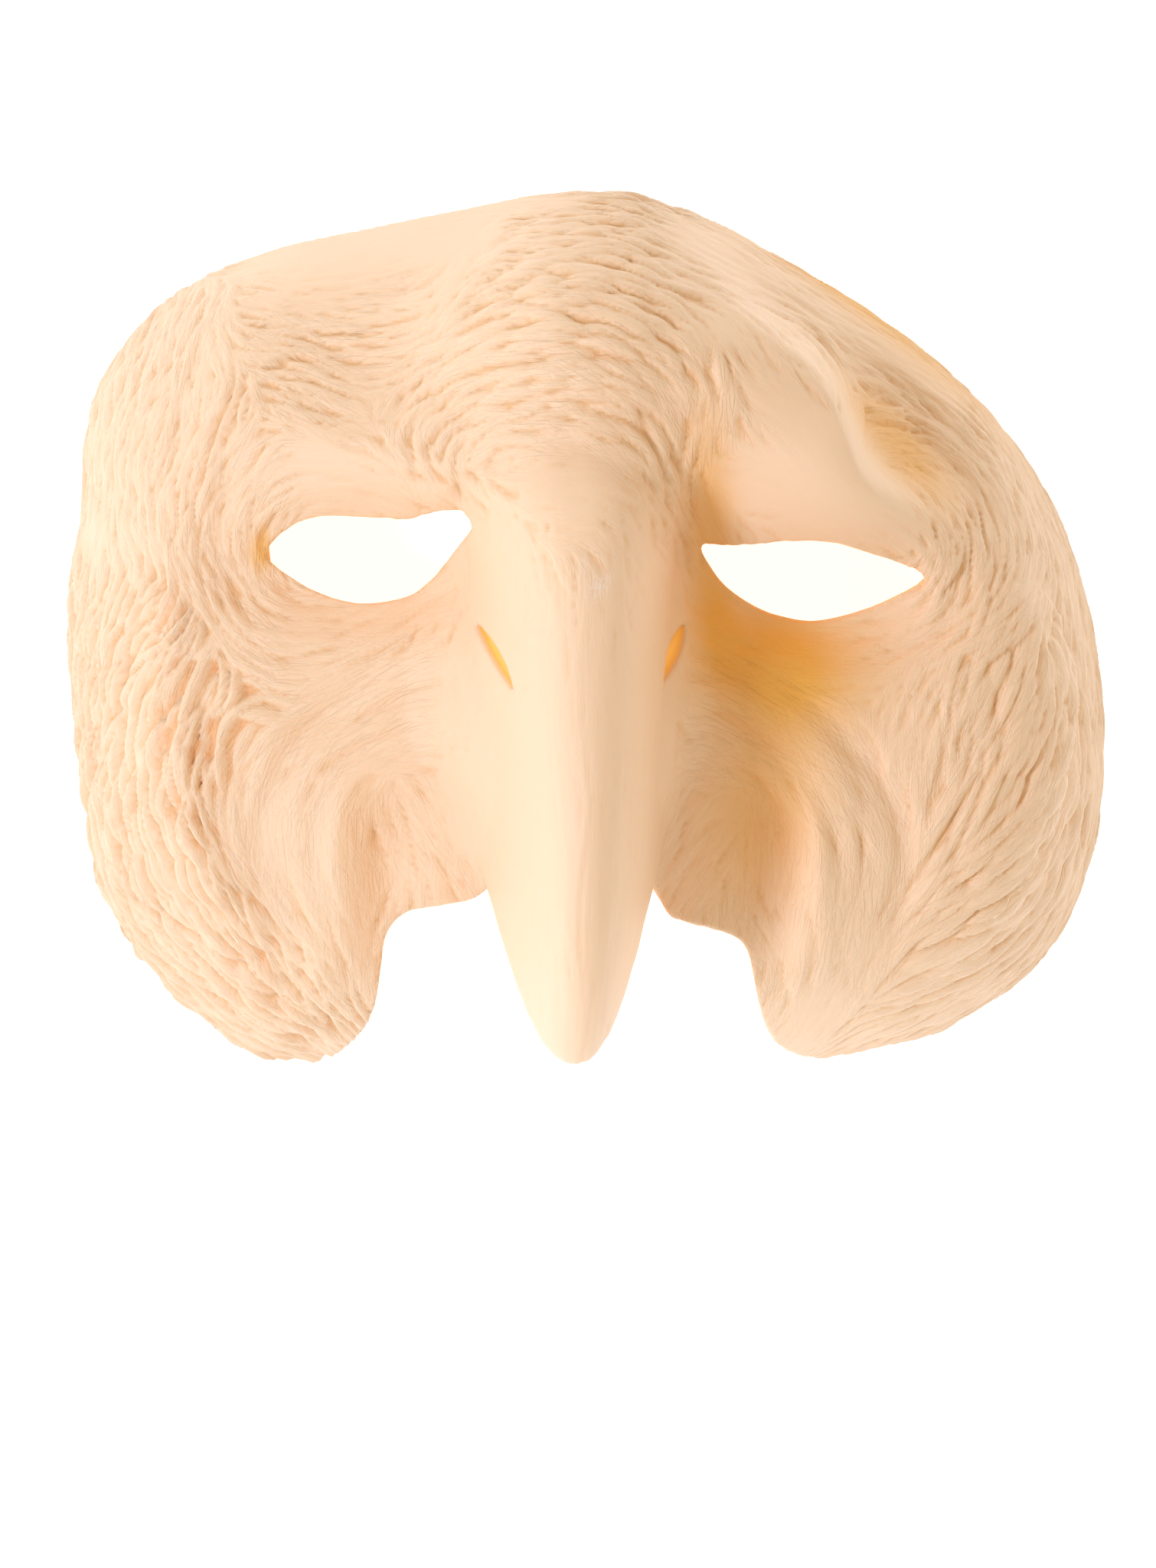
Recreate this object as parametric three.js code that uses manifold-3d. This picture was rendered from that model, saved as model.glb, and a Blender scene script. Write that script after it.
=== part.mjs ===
import * as THREE from 'three';
import * as BufferGeometryUtils from 'three/addons/utils/BufferGeometryUtils.js';
import Module from 'manifold-3d';

// Latex half mask in the shape of a parrot's head, lying face up on its rim.
// Millimetres. +X is to the right as one looks down on the face, +Y runs up the face
// to the forehead, +Z points out of the face. The wearer's side is open underneath.

// Driving dimensions
const WALL = 1.8; // thickness of the latex sheet
const OUTER_STEP = 3.04; // spacing of the net that shapes the outer side
const INNER_STEP = 4.6; // spacing of the net that shapes the wearer's side
const CENTRE_HEIGHT = 42; // height of the plain sheet in the middle of the face
const SHOULDER = 0.42; // share of that height lost evenly towards the rim
const EDGE_POWER = 9; // how suddenly the rest drops at the rim
const STRETCH = 1.25; // length of the sheet along its curve, against its plan radius
const MIDDLE = [2, -2]; // plan point that the sheet is measured from
const AXIS = -3; // x of the beak's ridge
const NOSTRIL_DEPTH = 0.8; // the nostrils are blind: thin latex is left behind them
const SLIT_POINTS = 16; // around a nostril's outline
const SLIT_RISE = 2; // how far a nostril's cutter stands out of the latex
const CENTRE_IN_PLAN = [2.3, -0.9]; // moved to the origin at the end
const LATEX = { colour: 0xf3d3b0, roughness: 0.55 };

// Rim seen from above: x, y and the height of the edge there
const RIM = [
  [80.6, 2.1, 0], [75.3, 17.7, 0], [66.7, 31.1, 0], [55.9, 41.6, 0.5], [44.2, 49.6, 4],
  [32.3, 56, 9], [20.2, 61.7, 14], [13.3, 63.7, 19], [6.6, 65.2, 24], [-6.6, 64.9, 23],
  [-19.4, 62.9, 17], [-33, 60.5, 11], [-48.5, 57.1, 5], [-57.1, 53.8, 2], [-63.8, 49.6, 0],
  [-69.8, 43, 0], [-73.9, 35.8, 0], [-75.9, 27.4, 0], [-76.1, 18.6, 0], [-78.3, 2.2, 0],
  [-77.3, -14.6, 0], [-75.3, -31.8, 0], [-73.1, -40.4, 0], [-68.6, -49, 0], [-56.2, -62, 0],
  [-49.6, -65.9, 0], [-41.5, -67, 0], [-24, -69.4, 0], [0, -70.5, 0], [24, -69.4, 0],
  [41.3, -66.7, 0], [59.5, -61.7, 0], [74.2, -50.3, 0], [81.5, -33, 0], [82.8, -14.9, 0],
];
// Openings seen from above: the notch for the mouth and the two eye holes
const MOUTH = [
  [-43.2, -68], [-37.6, -65.8], [-34, -62.4], [-32, -57.7], [-31, -50.8], [-30.2, -45.8],
  [-27.3, -42.7], [-22, -41.6], [-18.6, -41], [-16.4, -39.6], [-15.2, -36.2], [-14, -32.4],
  [-11.4, -31], [-8, -31.2], [-3, -31.6], [1.2, -31.2], [5, -30.8], [7.5, -31.8],
  [8.8, -34.8], [9.8, -39], [11.8, -43.2], [15.5, -44.6], [21.5, -46.4], [24.1, -49],
  [25.7, -55.3], [27.9, -61.1], [31.2, -64.9], [36.4, -67], [42.8, -68.6],
];
const LEFT_EYE = [
  [-48.2, 10.6], [-45.3, 14.3], [-40.6, 16.2], [-34.4, 16.1], [-27.6, 15.8], [-22.5, 16.9],
  [-19.3, 16.6], [-18.5, 14.6], [-20.8, 10.9], [-24.2, 6.8], [-27.6, 4.4], [-34.4, 3.5],
  [-40, 4.9], [-44.6, 7.4],
];
const RIGHT_EYE = [
  [16.4, 11.9], [21.7, 11.9], [33, 12.5], [41.6, 10.8], [50.4, 7.3], [45.2, 3.9], [38, 1.6],
  [32.7, 0.9], [26.3, 2.3], [21, 5.3], [17.9, 8.6],
];

// Ridges and furrows: a line in plan, its heights along the line, and how far it spreads
// to the left and to the right of the line's direction
const FOLDS = {
  dome: {
    line: [[-3.6, 19.9], [-3.5, 27.6], [-1.6, 37.6], [1.4, 49.1], [4.5, 57.6], [7.1, 64.7]],
    height: [13, 17, 19, 17, 10, 2],
    left: [19, 21, 22, 21, 18, 14],
    right: [15, 17, 19, 20, 18, 14],
    power: 2.6,
    blend: 7,
  },
  leftBrow: {
    line: [[-59.3, 52.9], [-56.6, 48], [-53.3, 39.5], [-45.5, 33.2], [-37.5, 29.4],
      [-29.9, 25.6], [-22.1, 20.1], [-17.8, 15.6]],
    height: [0, 1, 2, 3.4, 4.2, 4, 2.6, 0],
    left: [7, 8, 10, 11, 10, 8, 6, 5],
    right: [8, 9, 10, 11, 10, 8, 6, 5],
    power: 2,
    blend: 4,
  },
  rightBrow: {
    line: [[17.8, 55.5], [21.3, 49.1], [28.7, 42.6], [35.3, 35.2], [38.6, 28], [41.1, 22.2],
      [47.8, 17.8], [52.3, 13.5], [54.6, 9]],
    height: [0, 0.5, 1, 1.5, 2, 3.5, 4, 2.5, 0],
    left: [4, 4],
    right: [10, 11, 12, 12, 12, 11, 9, 7, 5],
    power: 2.2,
    blend: 4,
  },
  beakRoot: {
    line: [[-20.2, 16.9], [-17.5, 21.5], [-10.4, 24.9], [-2.5, 25.5], [5.4, 23], [9.9, 17.8]],
    height: [0, -1.6, -1.6, -1.6, 0],
    left: [2.2, 2.2],
    right: [2.2, 2.2],
    power: 2,
    blend: 3,
  },
  leftCheek: {
    line: [[-66.2, 13.7], [-64.5, 2.1], [-64.5, -9.5], [-62.5, -22.3], [-57.9, -36.2], [-48.2, -50.3]],
    height: [0, 2.5, 3, 3, 2.5, 0],
    left: [7, 7],
    right: [6, 6],
    power: 2,
    blend: 5,
  },
  leftTrough: {
    line: [[-58.4, 9], [-57.3, -0.2], [-58, -10.6], [-55.9, -22.1], [-50.7, -34.8], [-43.7, -46.5]],
    height: [0, -1.5, -2, -2, -2, 0],
    left: [6, 6],
    right: [6, 6],
    power: 2,
    blend: 5,
  },
  rightCheek: {
    line: [[61, 8], [69.5, -1], [73.5, -12], [73, -25], [68, -36], [59.5, -46], [50.7, -53]],
    height: [0, 2.5, 3.5, 4, 3.5, 2, 0],
    left: [3.5, 3.5],
    right: [13, 13],
    power: 2,
    blend: 5,
  },
  leftJowl: {
    line: [[-38.3, -57.4], [-37.7, -46.3], [-38, -35.7], [-37.8, -28.7], [-35.4, -23.5],
      [-30.6, -21.2], [-26.1, -21.7]],
    height: [1, 2, 3, 3, 3, 2, 0],
    left: [5, 6, 6, 6, 6, 6, 6],
    right: [4.2, 4.2],
    power: 2,
    blend: 3.5,
  },
  leftCrease: {
    line: [[-30.5, -49.1], [-30, -41.6], [-29.8, -34.5], [-30.4, -28.1], [-32, -24.1]],
    height: [0, -2.2, -2.6, -2, 0],
    left: [4, 4],
    right: [5, 5],
    power: 2,
    blend: 3.5,
  },
  rightJowl: {
    line: [[32.1, -54.2], [34.3, -44.3], [34.3, -33.6], [32.7, -26], [29.5, -22.5], [24.6, -21.3]],
    height: [1, 2.5, 3, 3, 2, 0],
    left: [4.2, 4.2],
    right: [6, 6],
    power: 2,
    blend: 3.5,
  },
  rightCrease: {
    line: [[26.4, -48.1], [26.7, -38.3], [26.8, -31.2], [25, -25.4], [22, -21.3]],
    height: [0, -2.4, -3, -2.4, 0],
    left: [5, 5],
    right: [4, 4],
    power: 2,
    blend: 3.5,
  },
};
// Furrows between tufts, ripples and brow folds, in families: each family has count furrows
// spread evenly from its first line in plan to its last
const FURROWS = {
  domeArcs: {
    first: [[-14, 53], [-7, 54.5], [1, 54.5], [9, 53], [18, 48]],
    last: [[-24, 25], [-17, 30.5], [-6, 32], [3, 29], [8.5, 24]],
    count: 4,
    depth: 1.1,
    width: 2.2,
  },
  hollowArcs: {
    first: [[-52, 50], [-45, 48], [-36, 48], [-29, 49], [-20, 52]],
    last: [[-46, 35], [-41, 33], [-36, 31], [-31, 31], [-25, 36]],
    count: 3,
    depth: 0.8,
    width: 2,
  },
  leftTemple: {
    first: [[-57, 46], [-59, 36], [-61, 28], [-63, 20]],
    last: [[-48, 28], [-54, 21], [-55, 11], [-49, 2]],
    count: 2,
    depth: 0.9,
    width: 2.2,
  },
  leftTufts: {
    first: [[-63, 5], [-68, -4], [-71, -12], [-73, -22]],
    last: [[-54, -8], [-57, -18], [-56, -30], [-48, -45]],
    count: 3,
    depth: 1.5,
    width: 2.3,
  },
  leftLowTufts: {
    first: [[-72, -34], [-66, -45], [-58, -53], [-48, -60]],
    last: [[-61, -34], [-55, -43], [-48, -50], [-41, -57]],
    count: 2,
    depth: 1.3,
    width: 2.2,
  },
  leftRipples: {
    first: [[-25, -4], [-32, -8], [-40, -14], [-46.5, -22], [-49, -32], [-46, -43]],
    last: [[-24, -13], [-29, -17], [-35.5, -20], [-40, -26], [-41, -36], [-39, -46]],
    count: 2,
    depth: 1.1,
    width: 2,
  },
  rightTemple: {
    first: [[41, 39], [48, 37], [56, 31], [64, 22]],
    last: [[44, 26], [50, 27], [57, 22], [60, 12]],
    count: 2,
    depth: 1,
    width: 2.2,
  },
  rightEyeBag: {
    first: [[55, 17], [56.5, 8], [52, -1], [43, -4.5]],
    last: [[55, 17], [56.5, 8], [52, -1], [43, -4.5]],
    count: 1,
    depth: 0.9,
    width: 2,
  },
  rightLobes: {
    first: [[64, -1], [61, -9], [58, -17], [52, -30]],
    last: [[76, -10], [75.5, -24], [66, -38], [50, -48]],
    count: 3,
    depth: 1.6,
    width: 2.3,
  },
  rightLowLobes: {
    first: [[74, -36], [69, -44], [61, -50], [48, -56]],
    last: [[53, -33], [49.5, -40], [46, -46.5], [42.5, -54]],
    count: 2,
    depth: 1.2,
    width: 2.2,
  },
  rightRipples: {
    first: [[22, -5], [32, -11.5], [40, -19], [46, -28], [47, -38], [44.5, -50]],
    last: [[18, -13], [24.5, -17], [31, -22.5], [36, -30], [37, -39], [35, -48]],
    count: 2,
    depth: 1.1,
    width: 2,
  },
};
for (const [name, { first, last, count, depth, width }] of Object.entries(FURROWS)) {
  for (let k = 0; k < count; k += 1) {
    const share = count > 1 ? k / (count - 1) : 0;
    FOLDS[`${name}${k}`] = {
      line: first.map(([x, y], i) => [x + share * (last[i][0] - x), y + share * (last[i][1] - y)]),
      height: [0, -depth, -depth, 0],
      left: [width, width],
      right: [width, width],
      power: 2,
      blend: 2.5,
    };
  }
}
// Rounded swellings and hollows: middle, half widths, turn in degrees, height, and how boxy
const SWELLINGS = [
  { at: [-37, 40], size: [14, 9], turn: -20, height: -2, power: 2 }, // left forehead hollow
  { at: [49, 34], size: [17, 8], turn: -50, height: -7, power: 2 }, // right temple hollow
  { at: [-34, 8], size: [20, 9], turn: 0, height: -5, power: 3 }, // left eye socket
  { at: [33, 4], size: [19, 9], turn: -6, height: -5.5, power: 3 }, // right eye socket
  { at: [-56, -22], size: [13, 28], turn: 8, height: 3, power: 2.5 }, // left cheek
  { at: [60, -18], size: [13, 28], turn: -8, height: 3, power: 2.5 }, // right cheek
];
// The right brow is a plateau that ends at the crest line of FOLDS.rightBrow
const RIGHT_PLATEAU = { at: [30.5, 33], size: [17, 21], turn: 28, height: 13.5, power: 3 };
const CREST_FALL = { start: -2, end: 5.5 }; // it falls away between these distances outside the line

// Beak stations down the sheet: v, half width of the foot, half width of the ridge,
// the ridge's share of the height, and the y and z that the ridge reaches
const BEAK = [
  [30, 15, 17, 0.95, 30, 57],
  [22, 17, 17, 0.88, 20, 62],
  [12, 20, 16, 0.72, 6.5, 68],
  [0, 24, 14.5, 0.55, -11, 72.5],
  [-10, 25, 12.5, 0.46, -28, 74],
  [-17, 24, 12, 0.46, -42, 71],
  [-22, 22, 12.5, 0.5, -52, 65],
  [-26, 20.5, 13.5, 0.5, -59.5, 56.5],
  [-29, 20, 14, 0.5, -64.3, 48],
  [-31, 19.5, 14, 0.5, -64.4, 43.5],
  [-33, 18.5, 14, 0.5, -60.5, 42.5],
  [-36, 16.5, 14, 0.5, -54.5, 44],
  [-39, 15.5, 14, 0.5, -48.5, 42],
  [-43, 15, 14, 0.5, -43.5, 38],
  [-50, 15, 14, 0.5, -50, 36],
].reverse();
const BEAK_START = [33, 20]; // the beak rises out of the forehead between these two stations
const FOOT_SHARE = { left: 1.04, right: 0.88 };
// The net is finer around the beak
const LENS = { at: [AXIS, -24], reach: 26, strength: 0.36 };
// Nostrils: the two plan ends of each slit, and its width
const NOSTRILS = [
  { ends: [[-17.2, 1.5], [-13.5, -1.5]], width: 2.4 },
  { ends: [[13.7, 1.3], [10, -5.2]], width: 3 },
];

// Plain helpers
const TURN = 2 * Math.PI;
const clamp = (x, low, high) => Math.min(Math.max(x, low), high);
const column = (table, k) => table.map((row) => row[k]);

function smooth(a, b, x) {
  const t = clamp((x - a) / (b - a), 0, 1);
  return t * t * (3 - 2 * t);
}

// Smooth curve through the values ys at the rising places xs
function through(x, xs, ys) {
  const n = xs.length;
  const slope = (i) => {
    const a = Math.max(i - 1, 0);
    const b = Math.min(i + 1, n - 1);
    return (ys[b] - ys[a]) / (xs[b] - xs[a]);
  };
  const at = clamp(x, xs[0], xs[n - 1]);
  let i = 0;
  while (i < n - 2 && at >= xs[i + 1]) i += 1;
  const h = xs[i + 1] - xs[i];
  const t = (at - xs[i]) / h;
  const t2 = t * t;
  const t3 = t2 * t;
  return (2 * t3 - 3 * t2 + 1) * ys[i] + (t3 - 2 * t2 + t) * h * slope(i)
    + (3 * t2 - 2 * t3) * ys[i + 1] + (t3 - t2) * h * slope(i + 1);
}

// The same for evenly spaced values and a share from 0 to 1
function spread(share, values) {
  return through(share, values.map((value, i) => i / (values.length - 1)), values);
}

// Curve through plan points, open or closed, as a list of points
function curveThrough(points, perSpan, closed) {
  const n = points.length;
  const end = (i) => {
    if (closed) return points[(i + n) % n];
    if (i < 0) return [2 * points[0][0] - points[1][0], 2 * points[0][1] - points[1][1]];
    if (i >= n) return [2 * points[n - 1][0] - points[n - 2][0], 2 * points[n - 1][1] - points[n - 2][1]];
    return points[i];
  };
  const out = [];
  for (let i = 0; i < (closed ? n : n - 1); i += 1) {
    const [a, b, c, d] = [end(i - 1), end(i), end(i + 1), end(i + 2)];
    for (let k = 0; k < perSpan; k += 1) {
      const t = k / perSpan;
      out.push([0, 1].map((j) => 0.5 * (2 * b[j] + (c[j] - a[j]) * t
        + (2 * a[j] - 5 * b[j] + 4 * c[j] - d[j]) * t * t
        + (3 * b[j] - a[j] - 3 * c[j] + d[j]) * t * t * t)));
    }
  }
  if (!closed) out.push(points[n - 1]);
  return out;
}

// The rim as a radius and a height over the angle about MIDDLE
const rimByAngle = RIM.map(([x, y, z]) => {
  const dx = x - MIDDLE[0];
  const dy = y - MIDDLE[1];
  return [(Math.atan2(dy, dx) + TURN) % TURN, Math.hypot(dx, dy), z];
}).sort((a, b) => a[0] - b[0]);
const rimLoop = [
  ...rimByAngle.slice(-3).map(([a, r, z]) => [a - TURN, r, z]),
  ...rimByAngle,
  ...rimByAngle.slice(0, 3).map(([a, r, z]) => [a + TURN, r, z]),
];
const rimAngles = column(rimLoop, 0);
const rimRadii = column(rimLoop, 1);
const rimHeights = column(rimLoop, 2);

function rimAt(dx, dy) {
  const angle = (Math.atan2(dy, dx) + TURN) % TURN;
  return {
    radius: through(angle, rimAngles, rimRadii),
    height: Math.max(through(angle, rimAngles, rimHeights), 0),
  };
}

// Place on the sheet (u, v) to plan: the sheet is longer than the plan radius, and the
// difference is taken up where it turns down at the rim
function toPlan(u, v) {
  const du = u - MIDDLE[0];
  const dv = v - MIDDLE[1];
  const far = Math.max(Math.hypot(du, dv), 1e-6);
  const rim = rimAt(du, dv);
  const out = far / (STRETCH * rim.radius);
  const held = Math.min(out, 1.15);
  const plan = STRETCH * held - (STRETCH - 1) * held ** 4;
  const scale = (rim.radius * plan) / far;
  return { x: MIDDLE[0] + du * scale, y: MIDDLE[1] + dv * scale, out, plan, rim };
}

// Plan to the place on the sheet, for the edges of the openings
function toSheet([x, y]) {
  const dx = x - MIDDLE[0];
  const dy = y - MIDDLE[1];
  const far = Math.max(Math.hypot(dx, dy), 1e-6);
  const { radius } = rimAt(dx, dy);
  const plan = far / radius;
  let out = plan / STRETCH;
  for (let k = 0; k < 12; k += 1) {
    const miss = STRETCH * out - (STRETCH - 1) * out ** 4 - plan;
    out -= miss / (STRETCH - 4 * (STRETCH - 1) * out ** 3);
  }
  const scale = (out * STRETCH * radius) / far;
  return [MIDDLE[0] + dx * scale, MIDDLE[1] + dy * scale];
}

// Each fold's line as points with their directions
for (const fold of Object.values(FOLDS)) {
  const points = curveThrough(fold.line, 8, false);
  const run = [0];
  for (let i = 1; i < points.length; i += 1) {
    run.push(run[i - 1] + Math.hypot(points[i][0] - points[i - 1][0], points[i][1] - points[i - 1][1]));
  }
  fold.points = points.map((point, i) => {
    const a = points[Math.max(i - 1, 0)];
    const b = points[Math.min(i + 1, points.length - 1)];
    const length = Math.hypot(b[0] - a[0], b[1] - a[1]);
    return { at: point, way: [(b[0] - a[0]) / length, (b[1] - a[1]) / length], share: run[i] / run[run.length - 1] };
  });
}

// Where (x, y) lies beside a fold: distance to the left of its line, share of the way
// along it and distance past its ends, each softened over the nearest points
function beside(fold, x, y) {
  const near = fold.points.map(({ at }) => (x - at[0]) ** 2 + (y - at[1]) ** 2);
  const least = Math.min(...near);
  let [total, off, share, ahead] = [0, 0, 0, 0];
  fold.points.forEach(({ at, way, share: here }, i) => {
    const weight = Math.exp((least - near[i]) / (2 * fold.blend ** 2));
    const dx = x - at[0];
    const dy = y - at[1];
    total += weight;
    off += weight * (dy * way[0] - dx * way[1]);
    share += weight * here;
    ahead += weight * (dx * way[0] + dy * way[1]);
  });
  off /= total;
  share /= total;
  ahead /= total;
  const past = Math.max(ahead, 0) * smooth(0.75, 1, share) + Math.max(-ahead, 0) * smooth(0.25, 0, share);
  return { off, share, past };
}

function foldHeight(fold, x, y) {
  const { off, share, past } = beside(fold, x, y);
  const side = smooth(-1.5, 1.5, off);
  const width = side * spread(share, fold.left) + (1 - side) * spread(share, fold.right);
  return spread(share, fold.height) * Math.exp(-(Math.abs(off / width) ** fold.power) - (past / 6) ** 2);
}

function swelling({ at, size, turn, height, power }, x, y) {
  const angle = (turn * Math.PI) / 180;
  const dx = x - at[0];
  const dy = y - at[1];
  const a = (dx * Math.cos(angle) + dy * Math.sin(angle)) / size[0];
  const b = (dy * Math.cos(angle) - dx * Math.sin(angle)) / size[1];
  return height * Math.exp(-((a * a + b * b) ** (power / 2)));
}

function faceHeight(x, y) {
  let height = 0;
  for (const fold of Object.values(FOLDS)) height += foldHeight(fold, x, y);
  for (const one of SWELLINGS) height += swelling(one, x, y);
  const outside = beside({ ...FOLDS.rightBrow, blend: 5 }, x, y).off;
  height += swelling(RIGHT_PLATEAU, x, y) * smooth(CREST_FALL.end, CREST_FALL.start, outside);
  return height;
}

function plainHeight(plan, rim) {
  const out = Math.min(plan, 1);
  const drop = SHOULDER * out ** 2 + (1 - SHOULDER) * out ** EDGE_POWER;
  return rim.height + (CENTRE_HEIGHT - rim.height) * (1 - drop);
}

// The whole sheet: plan place and height, with the beak drawn out of it as a vector,
// so that its hooked tip and its underside belong to the same sheet
const beakPlaces = column(BEAK, 0);
const beakAt = (v, k) => through(v, beakPlaces, column(BEAK, k));
const axisHeights = new Map();
function axisHeight(v) {
  const key = Math.round(v * 1e6);
  if (!axisHeights.has(key)) {
    const p = toPlan(AXIS, v);
    axisHeights.set(key, plainHeight(p.plan, p.rim) + faceHeight(p.x, p.y));
  }
  return axisHeights.get(key);
}

function sheet(u, v) {
  const p = toPlan(u, v);
  const held = smooth(0.8, 1, p.plan) * (1 - 0.8 * smooth(2, 12, p.rim.height));
  let z = Math.max(plainHeight(p.plan, p.rim) + faceHeight(p.x, p.y) * (1 - held), 0);
  let { y } = p;
  const off = Math.abs(u - AXIS);
  if (v > -50 && v < BEAK_START[0] && off < 30) {
    const foot = beakAt(v, 1) * (u > AXIS ? FOOT_SHARE.right : FOOT_SHARE.left);
    const share = beakAt(v, 3);
    const flank = (1 - Math.min(off / foot, 1) ** 2) ** 2;
    const ridge = (1 - Math.min(off / beakAt(v, 2), 1) ** 2.6) ** 1.3;
    const out = ((1 - share) * flank + share * ridge) * smooth(BEAK_START[0], BEAK_START[1], v);
    y += (beakAt(v, 4) - v) * out;
    z += (beakAt(v, 5) - axisHeight(v)) * out;
  }
  return new THREE.Vector3(p.x, y, z);
}

function sheetNormal(u, v) {
  const d = 0.4;
  const across = sheet(u + d, v).sub(sheet(u - d, v));
  const along = sheet(u, v + d).sub(sheet(u, v - d));
  return across.cross(along).normalize();
}

// Openings as closed lines on the sheet
const mouthEdge = curveThrough(MOUTH, 8, false).map(toSheet);
const edges = [
  [...mouthEdge, [mouthEdge[mouthEdge.length - 1][0] + 2, -110], [mouthEdge[0][0] - 2, -110]],
  curveThrough(LEFT_EYE, 6, true).map(toSheet),
  curveThrough(RIGHT_EYE, 6, true).map(toSheet),
];

// Distance from (u, v) to a closed line, positive outside it, and the nearest point on it
function toEdge(line, u, v) {
  let [best, inside, at] = [Infinity, false, null];
  for (let i = 0; i < line.length; i += 1) {
    const a = line[i];
    const b = line[(i + 1) % line.length];
    const ex = b[0] - a[0];
    const ey = b[1] - a[1];
    const t = clamp(((u - a[0]) * ex + (v - a[1]) * ey) / (ex * ex + ey * ey), 0, 1);
    const near = [a[0] + t * ex, a[1] + t * ey];
    const far = Math.hypot(u - near[0], v - near[1]);
    if (far < best) [best, at] = [far, near];
    if (a[1] > v !== b[1] > v && u < a[0] + ((v - a[1]) * ex) / ey) inside = !inside;
  }
  return { distance: inside ? -best : best, at };
}

// How far inside the latex (u, v) lies, and the nearest point on its edge
function toLatexEdge(u, v) {
  const du = u - MIDDLE[0];
  const dv = v - MIDDLE[1];
  const far = Math.max(Math.hypot(du, dv), 1e-6);
  const limit = STRETCH * rimAt(du, dv).radius;
  let best = {
    distance: limit - far,
    at: [MIDDLE[0] + (du * limit) / far, MIDDLE[1] + (dv * limit) / far],
  };
  for (const line of edges) {
    const one = toEdge(line, u, v);
    if (one.distance < best.distance) best = one;
  }
  return best;
}

function throughLens(u, v) {
  const du = u - LENS.at[0];
  const dv = v - LENS.at[1];
  const scale = 1 - LENS.strength * Math.exp(-(du * du + dv * dv) / LENS.reach ** 2);
  return [LENS.at[0] + du * scale, LENS.at[1] + dv * scale];
}

// A net of even triangles over the sheet, trimmed to the latex: points near an edge are
// moved onto it, and triangles that cross it are cut there
function trimmedNet(step) {
  const points = [];
  const marks = []; // 1 inside, 0 on an edge, -1 outside
  const high = (step * Math.sqrt(3)) / 2;
  const rows = Math.ceil(200 / high);
  const columns = Math.ceil(240 / step);
  for (let j = 0; j <= rows; j += 1) {
    for (let i = 0; i <= columns; i += 1) {
      const [u, v] = throughLens(-118 + (i + 0.5 * (j % 2)) * step, -102 + j * high);
      const [u2] = throughLens(-118 + (i + 1 + 0.5 * (j % 2)) * step, -102 + j * high);
      const edge = toLatexEdge(u, v);
      if (Math.abs(edge.distance) < 0.34 * (u2 - u)) {
        points.push(edge.at);
        marks.push(0);
      } else {
        points.push([u, v]);
        marks.push(Math.sign(edge.distance));
      }
    }
  }
  const cuts = new Map();
  const cut = (a, b) => {
    const key = a < b ? `${a} ${b}` : `${b} ${a}`;
    if (!cuts.has(key)) {
      let [inner, outer] = marks[a] > 0 ? [points[a], points[b]] : [points[b], points[a]];
      for (let k = 0; k < 14; k += 1) {
        const half = [(inner[0] + outer[0]) / 2, (inner[1] + outer[1]) / 2];
        if (toLatexEdge(...half).distance > 0) inner = half;
        else outer = half;
      }
      points.push(inner);
      marks.push(0);
      cuts.set(key, points.length - 1);
    }
    return cuts.get(key);
  };
  const triangles = [];
  const add = (corners) => {
    const out = corners.filter((c) => marks[c] < 0).length;
    const inside = corners.filter((c) => marks[c] > 0).length;
    if (inside === 0) {
      const middle = [0, 1].map((k) => corners.reduce((sum, c) => sum + points[c][k], 0) / 3);
      if (out === 0 && toLatexEdge(...middle).distance > 0) triangles.push(corners);
      return;
    }
    if (out === 0) {
      triangles.push(corners);
      return;
    }
    // turned so that the odd one out comes first
    const odd = corners.findIndex((c) => (out === 1 ? marks[c] < 0 : marks[c] > 0));
    const [a, b, c] = [0, 1, 2].map((k) => corners[(odd + k) % 3]);
    if (out === 2) triangles.push([a, cut(a, b), cut(a, c)]);
    else if (marks[b] === 0) triangles.push([b, c, cut(a, c)]);
    else if (marks[c] === 0) triangles.push([b, c, cut(a, b)]);
    else triangles.push([b, c, cut(a, c)], [b, cut(a, c), cut(a, b)]);
  };
  for (let j = 0; j < rows; j += 1) {
    for (let i = 0; i < columns; i += 1) {
      const a = j * (columns + 1) + i;
      const b = a + 1;
      const c = a + columns + 1;
      const d = c + 1;
      if (j % 2) {
        add([a, b, d]);
        add([a, d, c]);
      } else {
        add([a, b, c]);
        add([b, d, c]);
      }
    }
  }
  return { points, triangles };
}

// Boundary loops of a net, each a list of point numbers with the latex on its left
function loopsOf(triangles) {
  const twin = new Set(triangles.flatMap((t) => t.map((a, k) => `${a} ${t[(k + 1) % 3]}`)));
  const next = new Map();
  for (const t of triangles) {
    t.forEach((a, k) => {
      const b = t[(k + 1) % 3];
      if (!twin.has(`${b} ${a}`)) next.set(a, b);
    });
  }
  const loops = [];
  while (next.size) {
    const loop = [next.keys().next().value];
    while (next.has(loop[loop.length - 1])) {
      const last = loop[loop.length - 1];
      const following = next.get(last);
      next.delete(last);
      if (following === loop[0]) break;
      loop.push(following);
    }
    loops.push(loop);
  }
  return loops;
}

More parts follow.
